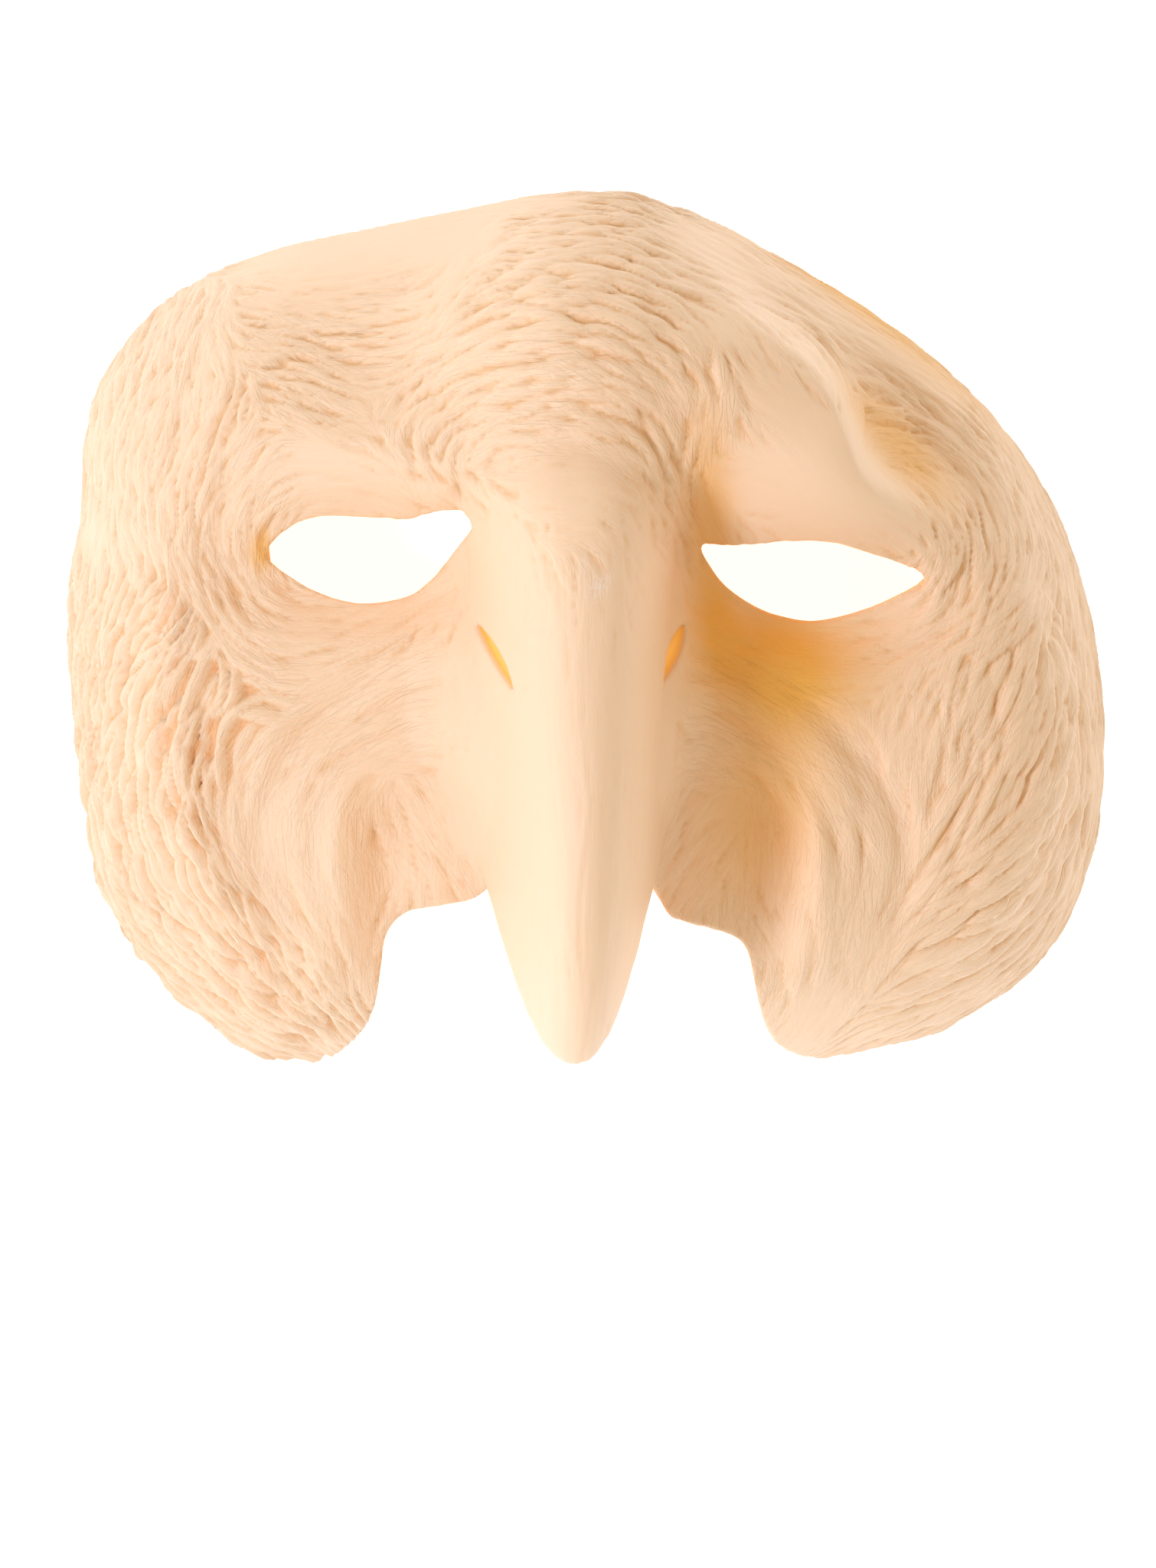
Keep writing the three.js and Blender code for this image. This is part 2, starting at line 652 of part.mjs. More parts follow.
// The shell: outer net, inner net and the cut edge between their loops
function shell() {
  const outer = trimmedNet(OUTER_STEP);
  const inner = trimmedNet(INNER_STEP);
  const vertices = [];
  const triangles = [];
  const outerIndex = new Map();
  const innerIndex = new Map();
  const onRim = ([u, v]) => toPlan(u, v).out > 0.9999;
  const outerVertex = (i) => {
    if (!outerIndex.has(i)) {
      outerIndex.set(i, vertices.length);
      vertices.push(sheet(...outer.points[i]));
    }
    return outerIndex.get(i);
  };
  const innerVertex = (i) => {
    if (!innerIndex.has(i)) {
      innerIndex.set(i, vertices.length);
      const [u, v] = inner.points[i];
      const top = sheet(u, v);
      const point = top.clone().addScaledVector(sheetNormal(u, v), -WALL);
      point.z = onRim([u, v]) ? top.z : Math.max(point.z, 0);
      vertices.push(point);
    }
    return innerIndex.get(i);
  };
  for (const t of outer.triangles) triangles.push(t.map(outerVertex));
  for (const [a, b, c] of inner.triangles) triangles.push([a, c, b].map(innerVertex));
  const innerLoops = loopsOf(inner.triangles);
  const gap = (i, j) => Math.hypot(
    outer.points[i][0] - inner.points[j][0],
    outer.points[i][1] - inner.points[j][1],
  );
  for (const loop of loopsOf(outer.triangles)) {
    const nearest = (other) => Math.min(...other.map((j) => gap(loop[0], j)));
    const match = innerLoops.reduce((a, b) => (nearest(a) < nearest(b) ? a : b));
    const first = match.reduce((a, j, k) => (gap(loop[0], j) < gap(loop[0], match[a]) ? k : a), 0);
    const other = [...match.slice(first), ...match.slice(0, first)];
    // share of the way round, measured on the sheet
    const shares = (list, points) => {
      const run = [0];
      list.forEach((a, k) => {
        const b = list[(k + 1) % list.length];
        run.push(run[k] + Math.hypot(points[a][0] - points[b][0], points[a][1] - points[b][1]));
      });
      return run.map((r) => r / run[run.length - 1]);
    };
    const outerShare = shares(loop, outer.points);
    const innerShare = shares(other, inner.points);
    let [i, j] = [0, 0];
    while (i < loop.length || j < other.length) {
      const a = outerVertex(loop[i % loop.length]);
      const b = innerVertex(other[j % other.length]);
      const outerNext = i < loop.length ? outerShare[i + 1] : 2;
      const innerNext = j < other.length ? innerShare[j + 1] : 2;
      if (outerNext <= innerNext) {
        i += 1;
        triangles.push([outerVertex(loop[i % loop.length]), a, b]);
      } else {
        j += 1;
        triangles.push([b, innerVertex(other[j % other.length]), a]);
      }
    }
  }
  const geometry = new THREE.BufferGeometry();
  geometry.setAttribute('position', new THREE.Float32BufferAttribute(vertices.flatMap((p) => p.toArray()), 3));
  geometry.setIndex(triangles.flat());
  return geometry;
}

// A nostril cutter: a slit's outline on the sheet, from above the latex down to the nostril's floor
function slit({ ends: [[u1, v1], [u2, v2]], width }) {
  const middle = new THREE.Vector2(u1 + u2, v1 + v2).divideScalar(2);
  const half = new THREE.Vector2(u2 - u1, v2 - v1).divideScalar(2);
  const across = new THREE.Vector2(-half.y, half.x).normalize();
  const [left, right] = [middle.clone().sub(across), middle.clone().add(across)];
  const bulge = width / sheet(left.x, left.y).distanceTo(sheet(right.x, right.y));
  const outline = Array.from({ length: SLIT_POINTS }, (_, k) => {
    const angle = (TURN * k) / SLIT_POINTS;
    const side = Math.sin(angle) * Math.abs(Math.sin(angle)) * bulge;
    return middle.clone().addScaledVector(half, Math.cos(angle)).addScaledVector(across, side);
  });
  const vertices = [];
  for (const away of [SLIT_RISE, -NOSTRIL_DEPTH]) {
    for (const { x, y } of [...outline, middle]) {
      vertices.push(...sheet(x, y).clone().addScaledVector(sheetNormal(x, y), away).toArray());
    }
  }
  const triangles = [];
  const low = SLIT_POINTS + 1;
  for (let k = 0; k < SLIT_POINTS; k += 1) {
    const next = (k + 1) % SLIT_POINTS;
    triangles.push(k, next, SLIT_POINTS);
    triangles.push(low + next, low + k, low + SLIT_POINTS);
    triangles.push(k, low + k, next);
    triangles.push(next, low + k, low + next);
  }
  const geometry = new THREE.BufferGeometry();
  geometry.setAttribute('position', new THREE.Float32BufferAttribute(vertices, 3));
  geometry.setIndex(triangles);
  return geometry;
}

// Booleans on closed meshes
const wasm = await Module();
wasm.setup();

function solid(geometry) {
  const plain = geometry.clone();
  plain.deleteAttribute('normal');
  plain.deleteAttribute('uv');
  const merged = BufferGeometryUtils.mergeVertices(plain, 1e-4);
  return new wasm.Manifold(new wasm.Mesh({
    numProp: 3,
    vertProperties: new Float32Array(merged.attributes.position.array),
    triVerts: new Uint32Array(merged.index.array),
  }));
}

function geometryOf(body) {
  const mesh = body.getMesh();
  const geometry = new THREE.BufferGeometry();
  geometry.setAttribute('position', new THREE.Float32BufferAttribute(mesh.vertProperties, 3));
  geometry.setIndex(Array.from(mesh.triVerts));
  return geometry;
}

const cutMask = NOSTRILS.map(slit).map(solid).reduce((mask, bar) => mask.subtract(bar), solid(shell()));
const maskGeometry = geometryOf(cutMask);
maskGeometry.translate(-CENTRE_IN_PLAN[0], -CENTRE_IN_PLAN[1], 0);
maskGeometry.computeVertexNormals();

const mask = new THREE.Mesh(maskGeometry, new THREE.MeshStandardMaterial({
  color: LATEX.colour,
  roughness: LATEX.roughness,
  metalness: 0,
}));
mask.name = 'latex_mask';

const parrotMask = new THREE.Group();
parrotMask.add(mask);

export default parrotMask;
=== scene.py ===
import math
import bpy
import numpy as np
from mathutils import Matrix, Vector


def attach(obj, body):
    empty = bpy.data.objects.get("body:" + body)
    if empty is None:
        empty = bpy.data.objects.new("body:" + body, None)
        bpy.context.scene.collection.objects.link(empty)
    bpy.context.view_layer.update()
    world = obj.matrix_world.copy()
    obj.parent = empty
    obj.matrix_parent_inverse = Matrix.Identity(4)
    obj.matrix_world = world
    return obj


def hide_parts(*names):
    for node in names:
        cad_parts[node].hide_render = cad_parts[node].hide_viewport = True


# Latex parrot half mask, lying face up on its rim. Lengths are millimetres until a mesh is made.
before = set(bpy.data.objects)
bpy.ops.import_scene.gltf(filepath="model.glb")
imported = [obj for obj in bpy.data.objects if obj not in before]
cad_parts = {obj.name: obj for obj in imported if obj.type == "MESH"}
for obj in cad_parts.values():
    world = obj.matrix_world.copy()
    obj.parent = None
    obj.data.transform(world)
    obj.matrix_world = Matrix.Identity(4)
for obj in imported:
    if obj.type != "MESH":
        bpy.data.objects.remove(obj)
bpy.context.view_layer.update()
mm = 0.001


# Camera and studio: the view of the photograph, straight down and 4 degrees from the left
view = {
    "from": (-68.57, 0.9, 972.7),   # mm
    "tilt": 4.0,                    # degrees from straight down
    "focal": 8229.0,                # pixels, for a picture 2048 pixels high
    "pictureHeight": 2048,
    "aimOffset": (-10.0, -206.0),   # pixels from the axis of that tilt to the middle of the picture
    "sensor": 36.0,
    "near": 0.05, "far": 20,        # metres
}


def makeCamera():
    tilt = math.radians(view["tilt"])
    ahead = Vector((math.sin(tilt), 0, -math.cos(tilt)))
    right = Vector((math.cos(tilt), 0, math.sin(tilt)))
    aim = (ahead + right * view["aimOffset"][0] / view["focal"]
           + Vector((0, 1, 0)) * view["aimOffset"][1] / view["focal"])
    aim.normalize()
    across = aim.cross(Vector((0, 1, 0))).normalized()
    up = across.cross(aim)
    data = bpy.data.cameras.new("camera")
    data.sensor_fit = "VERTICAL"
    data.sensor_height = view["sensor"]
    data.sensor_width = view["sensor"]
    data.lens = view["focal"] / view["pictureHeight"] * view["sensor"]
    data.clip_start = view["near"]
    data.clip_end = view["far"]
    camera = bpy.data.objects.new("camera", data)
    camera.matrix_world = Matrix((
        (across.x, up.x, -aim.x, view["from"][0] * mm),
        (across.y, up.y, -aim.y, view["from"][1] * mm),
        (across.z, up.z, -aim.z, view["from"][2] * mm),
        (0, 0, 0, 1),
    ))
    bpy.context.scene.collection.objects.link(camera)
    bpy.context.scene.camera = camera


# A bright sheet of paper, an even warm light all round and one lamp on the left, in metres
studio = {
    "key": {"at": (-1.0, -0.2, 1.24), "size": 0.3, "power": 13.0, "colour": (0.70, 0.79, 1.0)},
    "world": 0.675, "worldColour": (1.0, 0.87, 0.70),
    "floor": (0.86, 0.92, 1.0), "floorHalf": 3.0, "floorRoughness": 0.9,
    "floorGlow": 0.82, "glowColour": (0.9, 0.95, 1.0),
}


def makeStudio():
    data = bpy.data.lights.new("key", "AREA")
    data.shape = "DISK"
    data.size = studio["key"]["size"]
    data.energy = studio["key"]["power"]
    data.color = studio["key"]["colour"]
    lamp = bpy.data.objects.new("key", data)
    lamp.location = studio["key"]["at"]
    lamp.rotation_euler = (-lamp.location).to_track_quat("-Z", "Y").to_euler()
    bpy.context.scene.collection.objects.link(lamp)
    world = bpy.data.worlds.new("studio")
    world.use_nodes = True
    world.node_tree.nodes["Background"].inputs["Color"].default_value = (*studio["worldColour"], 1)
    world.node_tree.nodes["Background"].inputs["Strength"].default_value = studio["world"]
    bpy.context.scene.world = world
    half = studio["floorHalf"]
    corners = [(-half, -half, 0), (half, -half, 0), (half, half, 0), (-half, half, 0)]
    mesh = bpy.data.meshes.new("floor")
    mesh.from_pydata(corners, [], [(0, 1, 2, 3)])
    floor = bpy.data.objects.new("floor", mesh)
    bpy.context.scene.collection.objects.link(floor)
    paper = bpy.data.materials.new("paper")
    paper.use_nodes = True
    shader = paper.node_tree.nodes["Principled BSDF"]
    shader.inputs["Base Color"].default_value = (*studio["floor"], 1)
    shader.inputs["Roughness"].default_value = studio["floorRoughness"]
    shader.inputs["Emission Color"].default_value = (*studio["glowColour"], 1)
    shader.inputs["Emission Strength"].default_value = studio["floorGlow"]
    mesh.materials.append(paper)


makeCamera()
makeStudio()
bpy.context.scene.view_settings.view_transform = "Standard"
print("camera and studio made")


# The form: the solid's own driving dimensions. The lobes take the place of the furrows between
# tufts and scales, so those are shallower here (the dome's arcs, the left tufts and the right
# lobes), and so is the left trough. The left nostril is longer and wider than the solid's.
form = {
    "wall": 1.8,                 # thickness of the latex
    "centreHeight": 42,          # the plain sheet's height in the middle
    "shoulder": 0.42,            # share of that height lost evenly towards the rim
    "edgePower": 9,              # how suddenly the rest drops at the rim
    "stretch": 1.25,             # length of the sheet along its curve against its plan radius
    "middle": (2, -2),           # plan point that the sheet is measured from
    "axis": -3,                  # x of the beak's ridge
    "centreInPlan": (2.3, -0.9),    # moved to the origin at the end
    "nostrilDepth": 0.8,         # the nostrils are blind: thin latex is left behind them
    # the two ends of each nostril and its width
    "nostrils": [((-17.75, 2.35), (-13.05, -2.3), 4.4), ((13.7, 1.3), (10, -5.2), 3)],
    "beakStart": (33, 20),       # the beak rises out of the forehead between these two stations
    "beakReach": 30,             # how far from the axis the beak is drawn out
    "footShare": {"left": 1.04, "right": 0.88},
    "crestFall": (-2, 5.5),      # the right brow falls away between these distances outside its crest
    "crestBlend": 5,             # over what length the line of the crest is smoothed for that
    "foldSpan": 8,               # points to a span of a fold's line
    "foldEnd": 6,                # over what length a fold dies away past its line's ends
    # folds die away between these shares of the way to a rim on the floor. Of that, foldKept is
    # spared where the rim is raised, fully from the second of these heights on.
    "foldFade": (0.8, 1), "foldKept": 0.8, "raisedRim": (2, 12),
    # rim seen from above: x, y and the height of the edge there
    "rim": [
        (80.6, 2.1, 0), (75.3, 17.7, 0), (66.7, 31.1, 0), (55.9, 41.6, 0.5), (44.2, 49.6, 4),
        (32.3, 56, 9), (20.2, 61.7, 14), (13.3, 63.7, 19), (6.6, 65.2, 24), (-6.6, 64.9, 23),
        (-19.4, 62.9, 17), (-33, 60.5, 11), (-48.5, 57.1, 5), (-57.1, 53.8, 2), (-63.8, 49.6, 0),
        (-69.8, 43, 0), (-73.9, 35.8, 0), (-75.9, 27.4, 0), (-76.1, 18.6, 0), (-78.3, 2.2, 0),
        (-77.3, -14.6, 0), (-75.3, -31.8, 0), (-73.1, -40.4, 0), (-68.6, -49, 0), (-56.2, -62, 0),
        (-49.6, -65.9, 0), (-41.5, -67, 0), (-24, -69.4, 0), (0, -70.5, 0), (24, -69.4, 0),
        (41.3, -66.7, 0), (59.5, -61.7, 0), (74.2, -50.3, 0), (81.5, -33, 0), (82.8, -14.9, 0),
    ],
    # openings seen from above
    "mouth": [
        (-43.2, -68), (-37.6, -65.8), (-34, -62.4), (-32, -57.7), (-31, -50.8), (-30.2, -45.8),
        (-27.3, -42.7), (-22, -41.6), (-18.6, -41), (-16.4, -39.6), (-15.2, -36.2), (-14, -32.4),
        (-11.4, -31), (-8, -31.2), (-3, -31.6), (1.2, -31.2), (5, -30.8), (7.5, -31.8),
        (8.8, -34.8), (9.8, -39), (11.8, -43.2), (15.5, -44.6), (21.5, -46.4), (24.1, -49),
        (25.7, -55.3), (27.9, -61.1), (31.2, -64.9), (36.4, -67), (42.8, -68.6),
    ],
    "leftEye": [
        (-48.2, 10.6), (-45.3, 14.3), (-40.6, 16.2), (-34.4, 16.1), (-27.6, 15.8), (-22.5, 16.9),
        (-19.3, 16.6), (-18.5, 14.6), (-20.8, 10.9), (-24.2, 6.8), (-27.6, 4.4), (-34.4, 3.5),
        (-40, 4.9), (-44.6, 7.4),
    ],
    "rightEye": [
        (16.4, 11.9), (21.7, 11.9), (33, 12.5), (41.6, 10.8), (50.4, 7.3), (45.2, 3.9), (38, 1.6),
        (32.7, 0.9), (26.3, 2.3), (21, 5.3), (17.9, 8.6),
    ],
    # ridges and furrows: plan line, heights along it, and how far it spreads to its left and right
    "folds": {
        "dome": {
            "line": [(-3.6, 19.9), (-3.5, 27.6), (-1.6, 37.6), (1.4, 49.1), (4.5, 57.6), (7.1, 64.7)],
            "height": [13, 17, 19, 17, 10, 2], "left": [19, 21, 22, 21, 18, 14],
            "right": [15, 17, 19, 20, 18, 14], "power": 2.6, "blend": 7,
        },
        "leftBrow": {
            "line": [(-59.3, 52.9), (-56.6, 48), (-53.3, 39.5), (-45.5, 33.2), (-37.5, 29.4),
                     (-29.9, 25.6), (-22.1, 20.1), (-17.8, 15.6)],
            "height": [0, 1, 2, 3.4, 4.2, 4, 2.6, 0], "left": [7, 8, 10, 11, 10, 8, 6, 5],
            "right": [8, 9, 10, 11, 10, 8, 6, 5], "power": 2, "blend": 4,
        },
        "rightBrow": {
            "line": [(17.8, 55.5), (21.3, 49.1), (28.7, 42.6), (35.3, 35.2), (38.6, 28), (41.1, 22.2),
                     (47.8, 17.8), (52.3, 13.5), (54.6, 9)],
            "height": [0, 0.5, 1, 1.5, 2, 3.5, 4, 2.5, 0], "left": [4, 4],
            "right": [10, 11, 12, 12, 12, 11, 9, 7, 5], "power": 2.2, "blend": 4,
        },
        "beakRoot": {
            "line": [(-20.2, 16.9), (-17.5, 21.5), (-10.4, 24.9), (-2.5, 25.5), (5.4, 23), (9.9, 17.8)],
            "height": [0, -1.6, -1.6, -1.6, 0], "left": [2.2, 2.2], "right": [2.2, 2.2],
            "power": 2, "blend": 3,
        },
        "leftCheek": {
            "line": [(-66.2, 13.7), (-64.5, 2.1), (-64.5, -9.5), (-62.5, -22.3), (-57.9, -36.2),
                     (-48.2, -50.3)],
            "height": [0, 2.5, 3, 3, 2.5, 0], "left": [7, 7], "right": [6, 6], "power": 2, "blend": 5,
        },
        "leftTrough": {
            "line": [(-58.4, 9), (-57.3, -0.2), (-58, -10.6), (-55.9, -22.1), (-50.7, -34.8),
                     (-43.7, -46.5)],
            "height": [0, -1, -1.2, -1.2, -1.2, 0], "left": [6, 6], "right": [6, 6],
            "power": 2, "blend": 5,
        },
        "rightCheek": {
            "line": [(61, 8), (69.5, -1), (73.5, -12), (73, -25), (68, -36), (59.5, -46), (50.7, -53)],
            "height": [0, 2.5, 3.5, 4, 3.5, 2, 0], "left": [3.5, 3.5], "right": [13, 13],
            "power": 2, "blend": 5,
        },
        "leftJowl": {
            "line": [(-38.3, -57.4), (-37.7, -46.3), (-38, -35.7), (-37.8, -28.7), (-35.4, -23.5),
                     (-30.6, -21.2), (-26.1, -21.7)],
            "height": [1, 2, 3, 3, 3, 2, 0], "left": [5, 6, 6, 6, 6, 6, 6], "right": [4.2, 4.2],
            "power": 2, "blend": 3.5,
        },
        "leftCrease": {
            "line": [(-30.5, -49.1), (-30, -41.6), (-29.8, -34.5), (-30.4, -28.1), (-32, -24.1)],
            "height": [0, -2.2, -2.6, -2, 0], "left": [4, 4], "right": [5, 5], "power": 2, "blend": 3.5,
        },
        "rightJowl": {
            "line": [(32.1, -54.2), (34.3, -44.3), (34.3, -33.6), (32.7, -26), (29.5, -22.5),
                     (24.6, -21.3)],
            "height": [1, 2.5, 3, 3, 2, 0], "left": [4.2, 4.2], "right": [6, 6], "power": 2, "blend": 3.5,
        },
        "rightCrease": {
            "line": [(26.4, -48.1), (26.7, -38.3), (26.8, -31.2), (25, -25.4), (22, -21.3)],
            "height": [0, -2.4, -3, -2.4, 0], "left": [5, 5], "right": [4, 4], "power": 2, "blend": 3.5,
        },
    },
    # furrows between tufts, ripples and brow folds: count furrows from the first line in plan to the last
    "furrows": {
        "domeArcs": {
            "first": [(-14, 53), (-7, 54.5), (1, 54.5), (9, 53), (18, 48)],
            "last": [(-24, 25), (-17, 30.5), (-6, 32), (3, 29), (8.5, 24)],
            "count": 4, "depth": 0.5, "width": 2.2,
        },
        "hollowArcs": {
            "first": [(-52, 50), (-45, 48), (-36, 48), (-29, 49), (-20, 52)],
            "last": [(-46, 35), (-41, 33), (-36, 31), (-31, 31), (-25, 36)],
            "count": 3, "depth": 0.8, "width": 2,
        },
        "leftTemple": {
            "first": [(-57, 46), (-59, 36), (-61, 28), (-63, 20)],
            "last": [(-48, 28), (-54, 21), (-55, 11), (-49, 2)],
            "count": 2, "depth": 0.9, "width": 2.2,
        },
        "leftTufts": {
            "first": [(-63, 5), (-68, -4), (-71, -12), (-73, -22)],
            "last": [(-54, -8), (-57, -18), (-56, -30), (-48, -45)],
            "count": 3, "depth": 0.5, "width": 2.3,
        },
        "leftLowTufts": {
            "first": [(-72, -34), (-66, -45), (-58, -53), (-48, -60)],
            "last": [(-61, -34), (-55, -43), (-48, -50), (-41, -57)],
            "count": 2, "depth": 0.5, "width": 2.2,
        },
        "leftRipples": {
            "first": [(-25, -4), (-32, -8), (-40, -14), (-46.5, -22), (-49, -32), (-46, -43)],
            "last": [(-24, -13), (-29, -17), (-35.5, -20), (-40, -26), (-41, -36), (-39, -46)],
            "count": 2, "depth": 1.1, "width": 2,
        },
        "rightTemple": {
            "first": [(41, 39), (48, 37), (56, 31), (64, 22)],
            "last": [(44, 26), (50, 27), (57, 22), (60, 12)],
            "count": 2, "depth": 1, "width": 2.2,
        },
        "rightEyeBag": {
            "first": [(55, 17), (56.5, 8), (52, -1), (43, -4.5)],
            "last": [(55, 17), (56.5, 8), (52, -1), (43, -4.5)],
            "count": 1, "depth": 0.9, "width": 2,
        },
        "rightLobes": {
            "first": [(64, -1), (61, -9), (58, -17), (52, -30)],
            "last": [(76, -10), (75.5, -24), (66, -38), (50, -48)],
            "count": 3, "depth": 0.6, "width": 2.3,
        },
        "rightLowLobes": {
            "first": [(74, -36), (69, -44), (61, -50), (48, -56)],
            "last": [(53, -33), (49.5, -40), (46, -46.5), (42.5, -54)],
            "count": 2, "depth": 0.5, "width": 2.2,
        },
        "rightRipples": {
            "first": [(22, -5), (32, -11.5), (40, -19), (46, -28), (47, -38), (44.5, -50)],
            "last": [(18, -13), (24.5, -17), (31, -22.5), (36, -30), (37, -39), (35, -48)],
            "count": 2, "depth": 1.1, "width": 2,
        },
    },
    # rounded swellings and hollows: middle, half widths, turn in degrees, height, and how boxy
    "swellings": [
        ((-37, 40), (14, 9), -20, -2, 2),       # left forehead hollow
        ((49, 34), (17, 8), -50, -7, 2),        # right temple hollow
        ((-34, 8), (20, 9), 0, -5, 3),          # left eye socket
        ((33, 4), (19, 9), -6, -5.5, 3),        # right eye socket
        ((-56, -22), (13, 28), 8, 3, 2.5),      # left cheek
        ((60, -18), (13, 28), -8, 3, 2.5),      # right cheek
    ],
    "rightPlateau": ((30.5, 33), (17, 21), 28, 13.5, 3),    # the right lid
    # beak stations up the sheet: v, half width of the foot, half width of the ridge,
    # the ridge's share of the height, and the y and z that the ridge reaches
    "beak": [
        (-50, 15, 14, 0.5, -50, 36), (-43, 15, 14, 0.5, -43.5, 38),
        (-39, 15.5, 14, 0.5, -48.5, 42), (-36, 16.5, 14, 0.5, -54.5, 44),
        (-33, 18.5, 14, 0.5, -60.5, 42.5), (-31, 19.5, 14, 0.5, -64.4, 43.5),
        (-29, 20, 14, 0.5, -64.3, 48), (-26, 20.5, 13.5, 0.5, -59.5, 56.5),
        (-22, 22, 12.5, 0.5, -52, 65), (-17, 24, 12, 0.46, -42, 71), (-10, 25, 12.5, 0.46, -28, 74),
        (0, 24, 14.5, 0.55, -11, 72.5), (12, 20, 16, 0.72, 6.5, 68), (22, 17, 17, 0.88, 20, 62),
        (30, 15, 17, 0.95, 30, 57),
    ],
}

# Each furrow is a fold below the sheet, its line a share of the way from the first to the last
for family, furrow in form["furrows"].items():
    for k in range(furrow["count"]):
        share = k / (furrow["count"] - 1) if furrow["count"] > 1 else 0
        line = np.array(furrow["first"]) + share * (np.array(furrow["last"]) - furrow["first"])
        form["folds"][family + str(k)] = {
            "line": line, "height": [0, -furrow["depth"], -furrow["depth"], 0],
            "left": [furrow["width"]] * 2, "right": [furrow["width"]] * 2, "power": 2, "blend": 2.5,
        }


# 0 before start, 1 after end, and 3t^2 - 2t^3 on the way
def smoothStep(start, end, x):
    t = np.clip((x - start) / (end - start), 0, 1)
    return t * t * (3 - 2 * t)


# Cubic curve through the values at the rising places: its slope at each is the rise between its
# neighbours over their distance
def through(x, places, values):
    places = np.asarray(places, float)
    values = np.asarray(values, float)
    last = len(places) - 1
    before = np.maximum(np.arange(last + 1) - 1, 0)
    after = np.minimum(np.arange(last + 1) + 1, last)
    slopes = (values[after] - values[before]) / (places[after] - places[before])
    x = np.clip(x, places[0], places[-1])
    i = np.clip(np.searchsorted(places, x, side="right") - 1, 0, last - 1)
    h = places[i + 1] - places[i]
    t = (x - places[i]) / h
    return ((2 * t**3 - 3 * t**2 + 1) * values[i] + (t**3 - 2 * t**2 + t) * h * slopes[i]
            + (3 * t**2 - 2 * t**3) * values[i + 1] + (t**3 - t**2) * h * slopes[i + 1])


# The same for evenly spaced values and a share from 0 to 1
def spread(share, values):
    return through(share, np.linspace(0, 1, len(values)), values)


# Catmull-Rom curve through plan points, perSpan points to each span
def curveThrough(points, perSpan, closed=False):
    points = np.asarray(points, float)
    if closed:
        around = np.concatenate([points[-1:], points, points[:2]])
    else:
        around = np.concatenate([2 * points[:1] - points[1:2], points, 2 * points[-1:] - points[-2:-1]])
    a, b, c, d = (around[k:len(around) - 3 + k, None] for k in range(4))
    t = (np.arange(perSpan) / perSpan)[None, :, None]
    curve = 0.5 * (2 * b + (c - a) * t + (2 * a - 5 * b + 4 * c - d) * t**2
                   + (3 * b - a - 3 * c + d) * t**3)
    curve = curve.reshape(-1, 2)
    return curve if closed else np.concatenate([curve, points[-1:]])


# Radius and height of the rim over the angle about the middle
def rimAt(du, dv):
    turn = 2 * math.pi
    rim = np.array(form["rim"], float)
    away = rim[:, :2] - form["middle"]
    angle = np.arctan2(away[:, 1], away[:, 0]) % turn
    order = np.argsort(angle)
    angles = np.concatenate([angle[order][-3:] - turn, angle[order], angle[order][:3] + turn])
    radii = np.hypot(away[:, 0], away[:, 1])[order]
    heights = rim[order, 2]
    wrap = np.r_[np.arange(-3, 0), np.arange(len(rim)), np.arange(3)]
    at = np.arctan2(dv, du) % turn
    return through(at, angles, radii[wrap]), np.maximum(through(at, angles, heights[wrap]), 0)


# Place on the sheet to plan: out is the share of the way to the rim along the sheet, and the plan
# share is stretch * out - (stretch - 1) * out^4, so the spare length is taken up at the rim
def toPlan(u, v):
    du = u - form["middle"][0]
    dv = v - form["middle"][1]
    far = np.maximum(np.hypot(du, dv), 1e-6)
    radius, height = rimAt(du, dv)
    out = far / (form["stretch"] * radius)
    held = np.minimum(out, 1.15)
    plan = form["stretch"] * held - (form["stretch"] - 1) * held**4
    scale = radius * plan / far
    return form["middle"][0] + du * scale, form["middle"][1] + dv * scale, plan, height


# Plan to the place on the sheet, by Newton's steps on that formula
def toSheet(points):
    stretch = form["stretch"]
    away = np.asarray(points, float) - form["middle"]
    far = np.maximum(np.hypot(away[:, 0], away[:, 1]), 1e-6)
    radius = rimAt(away[:, 0], away[:, 1])[0]
    plan = far / radius
    out = plan / stretch
    for _ in range(12):
        out -= (stretch * out - (stretch - 1) * out**4 - plan) / (stretch - 4 * (stretch - 1) * out**3)
        out = np.where(plan < 1, out, plan)
    return form["middle"] + away * (out * stretch * radius / far)[:, None]


# Where places lie beside a fold's line: distance to its left, share of the way along it and distance
# past its ends, each a mean over the line's points weighted by exp(-(distance^2) / (2 blend^2))
def beside(fold, x, y, blend=None):
    blend = blend or fold["blend"]
    points = curveThrough(fold["line"], form["foldSpan"])
    steps = np.hypot(*np.diff(points, axis=0).T)
    shares = np.concatenate([[0], np.cumsum(steps)]) / steps.sum()
    order = np.arange(len(points))
    ways = points[np.minimum(order + 1, order[-1])] - points[np.maximum(order - 1, 0)]
    ways /= np.hypot(ways[:, 0], ways[:, 1])[:, None]
    dx = x[..., None] - points[:, 0]
    dy = y[..., None] - points[:, 1]
    near = dx**2 + dy**2
    weight = np.exp((near.min(axis=-1, keepdims=True) - near) / (2 * blend**2))
    weight /= weight.sum(axis=-1, keepdims=True)
    off = (weight * (dy * ways[:, 0] - dx * ways[:, 1])).sum(axis=-1)
    share = (weight * shares).sum(axis=-1)
    ahead = (weight * (dx * ways[:, 0] + dy * ways[:, 1])).sum(axis=-1)
    past = (np.maximum(ahead, 0) * smoothStep(0.75, 1, share)
            + np.maximum(-ahead, 0) * smoothStep(0.25, 0, share))
    return off, share, past


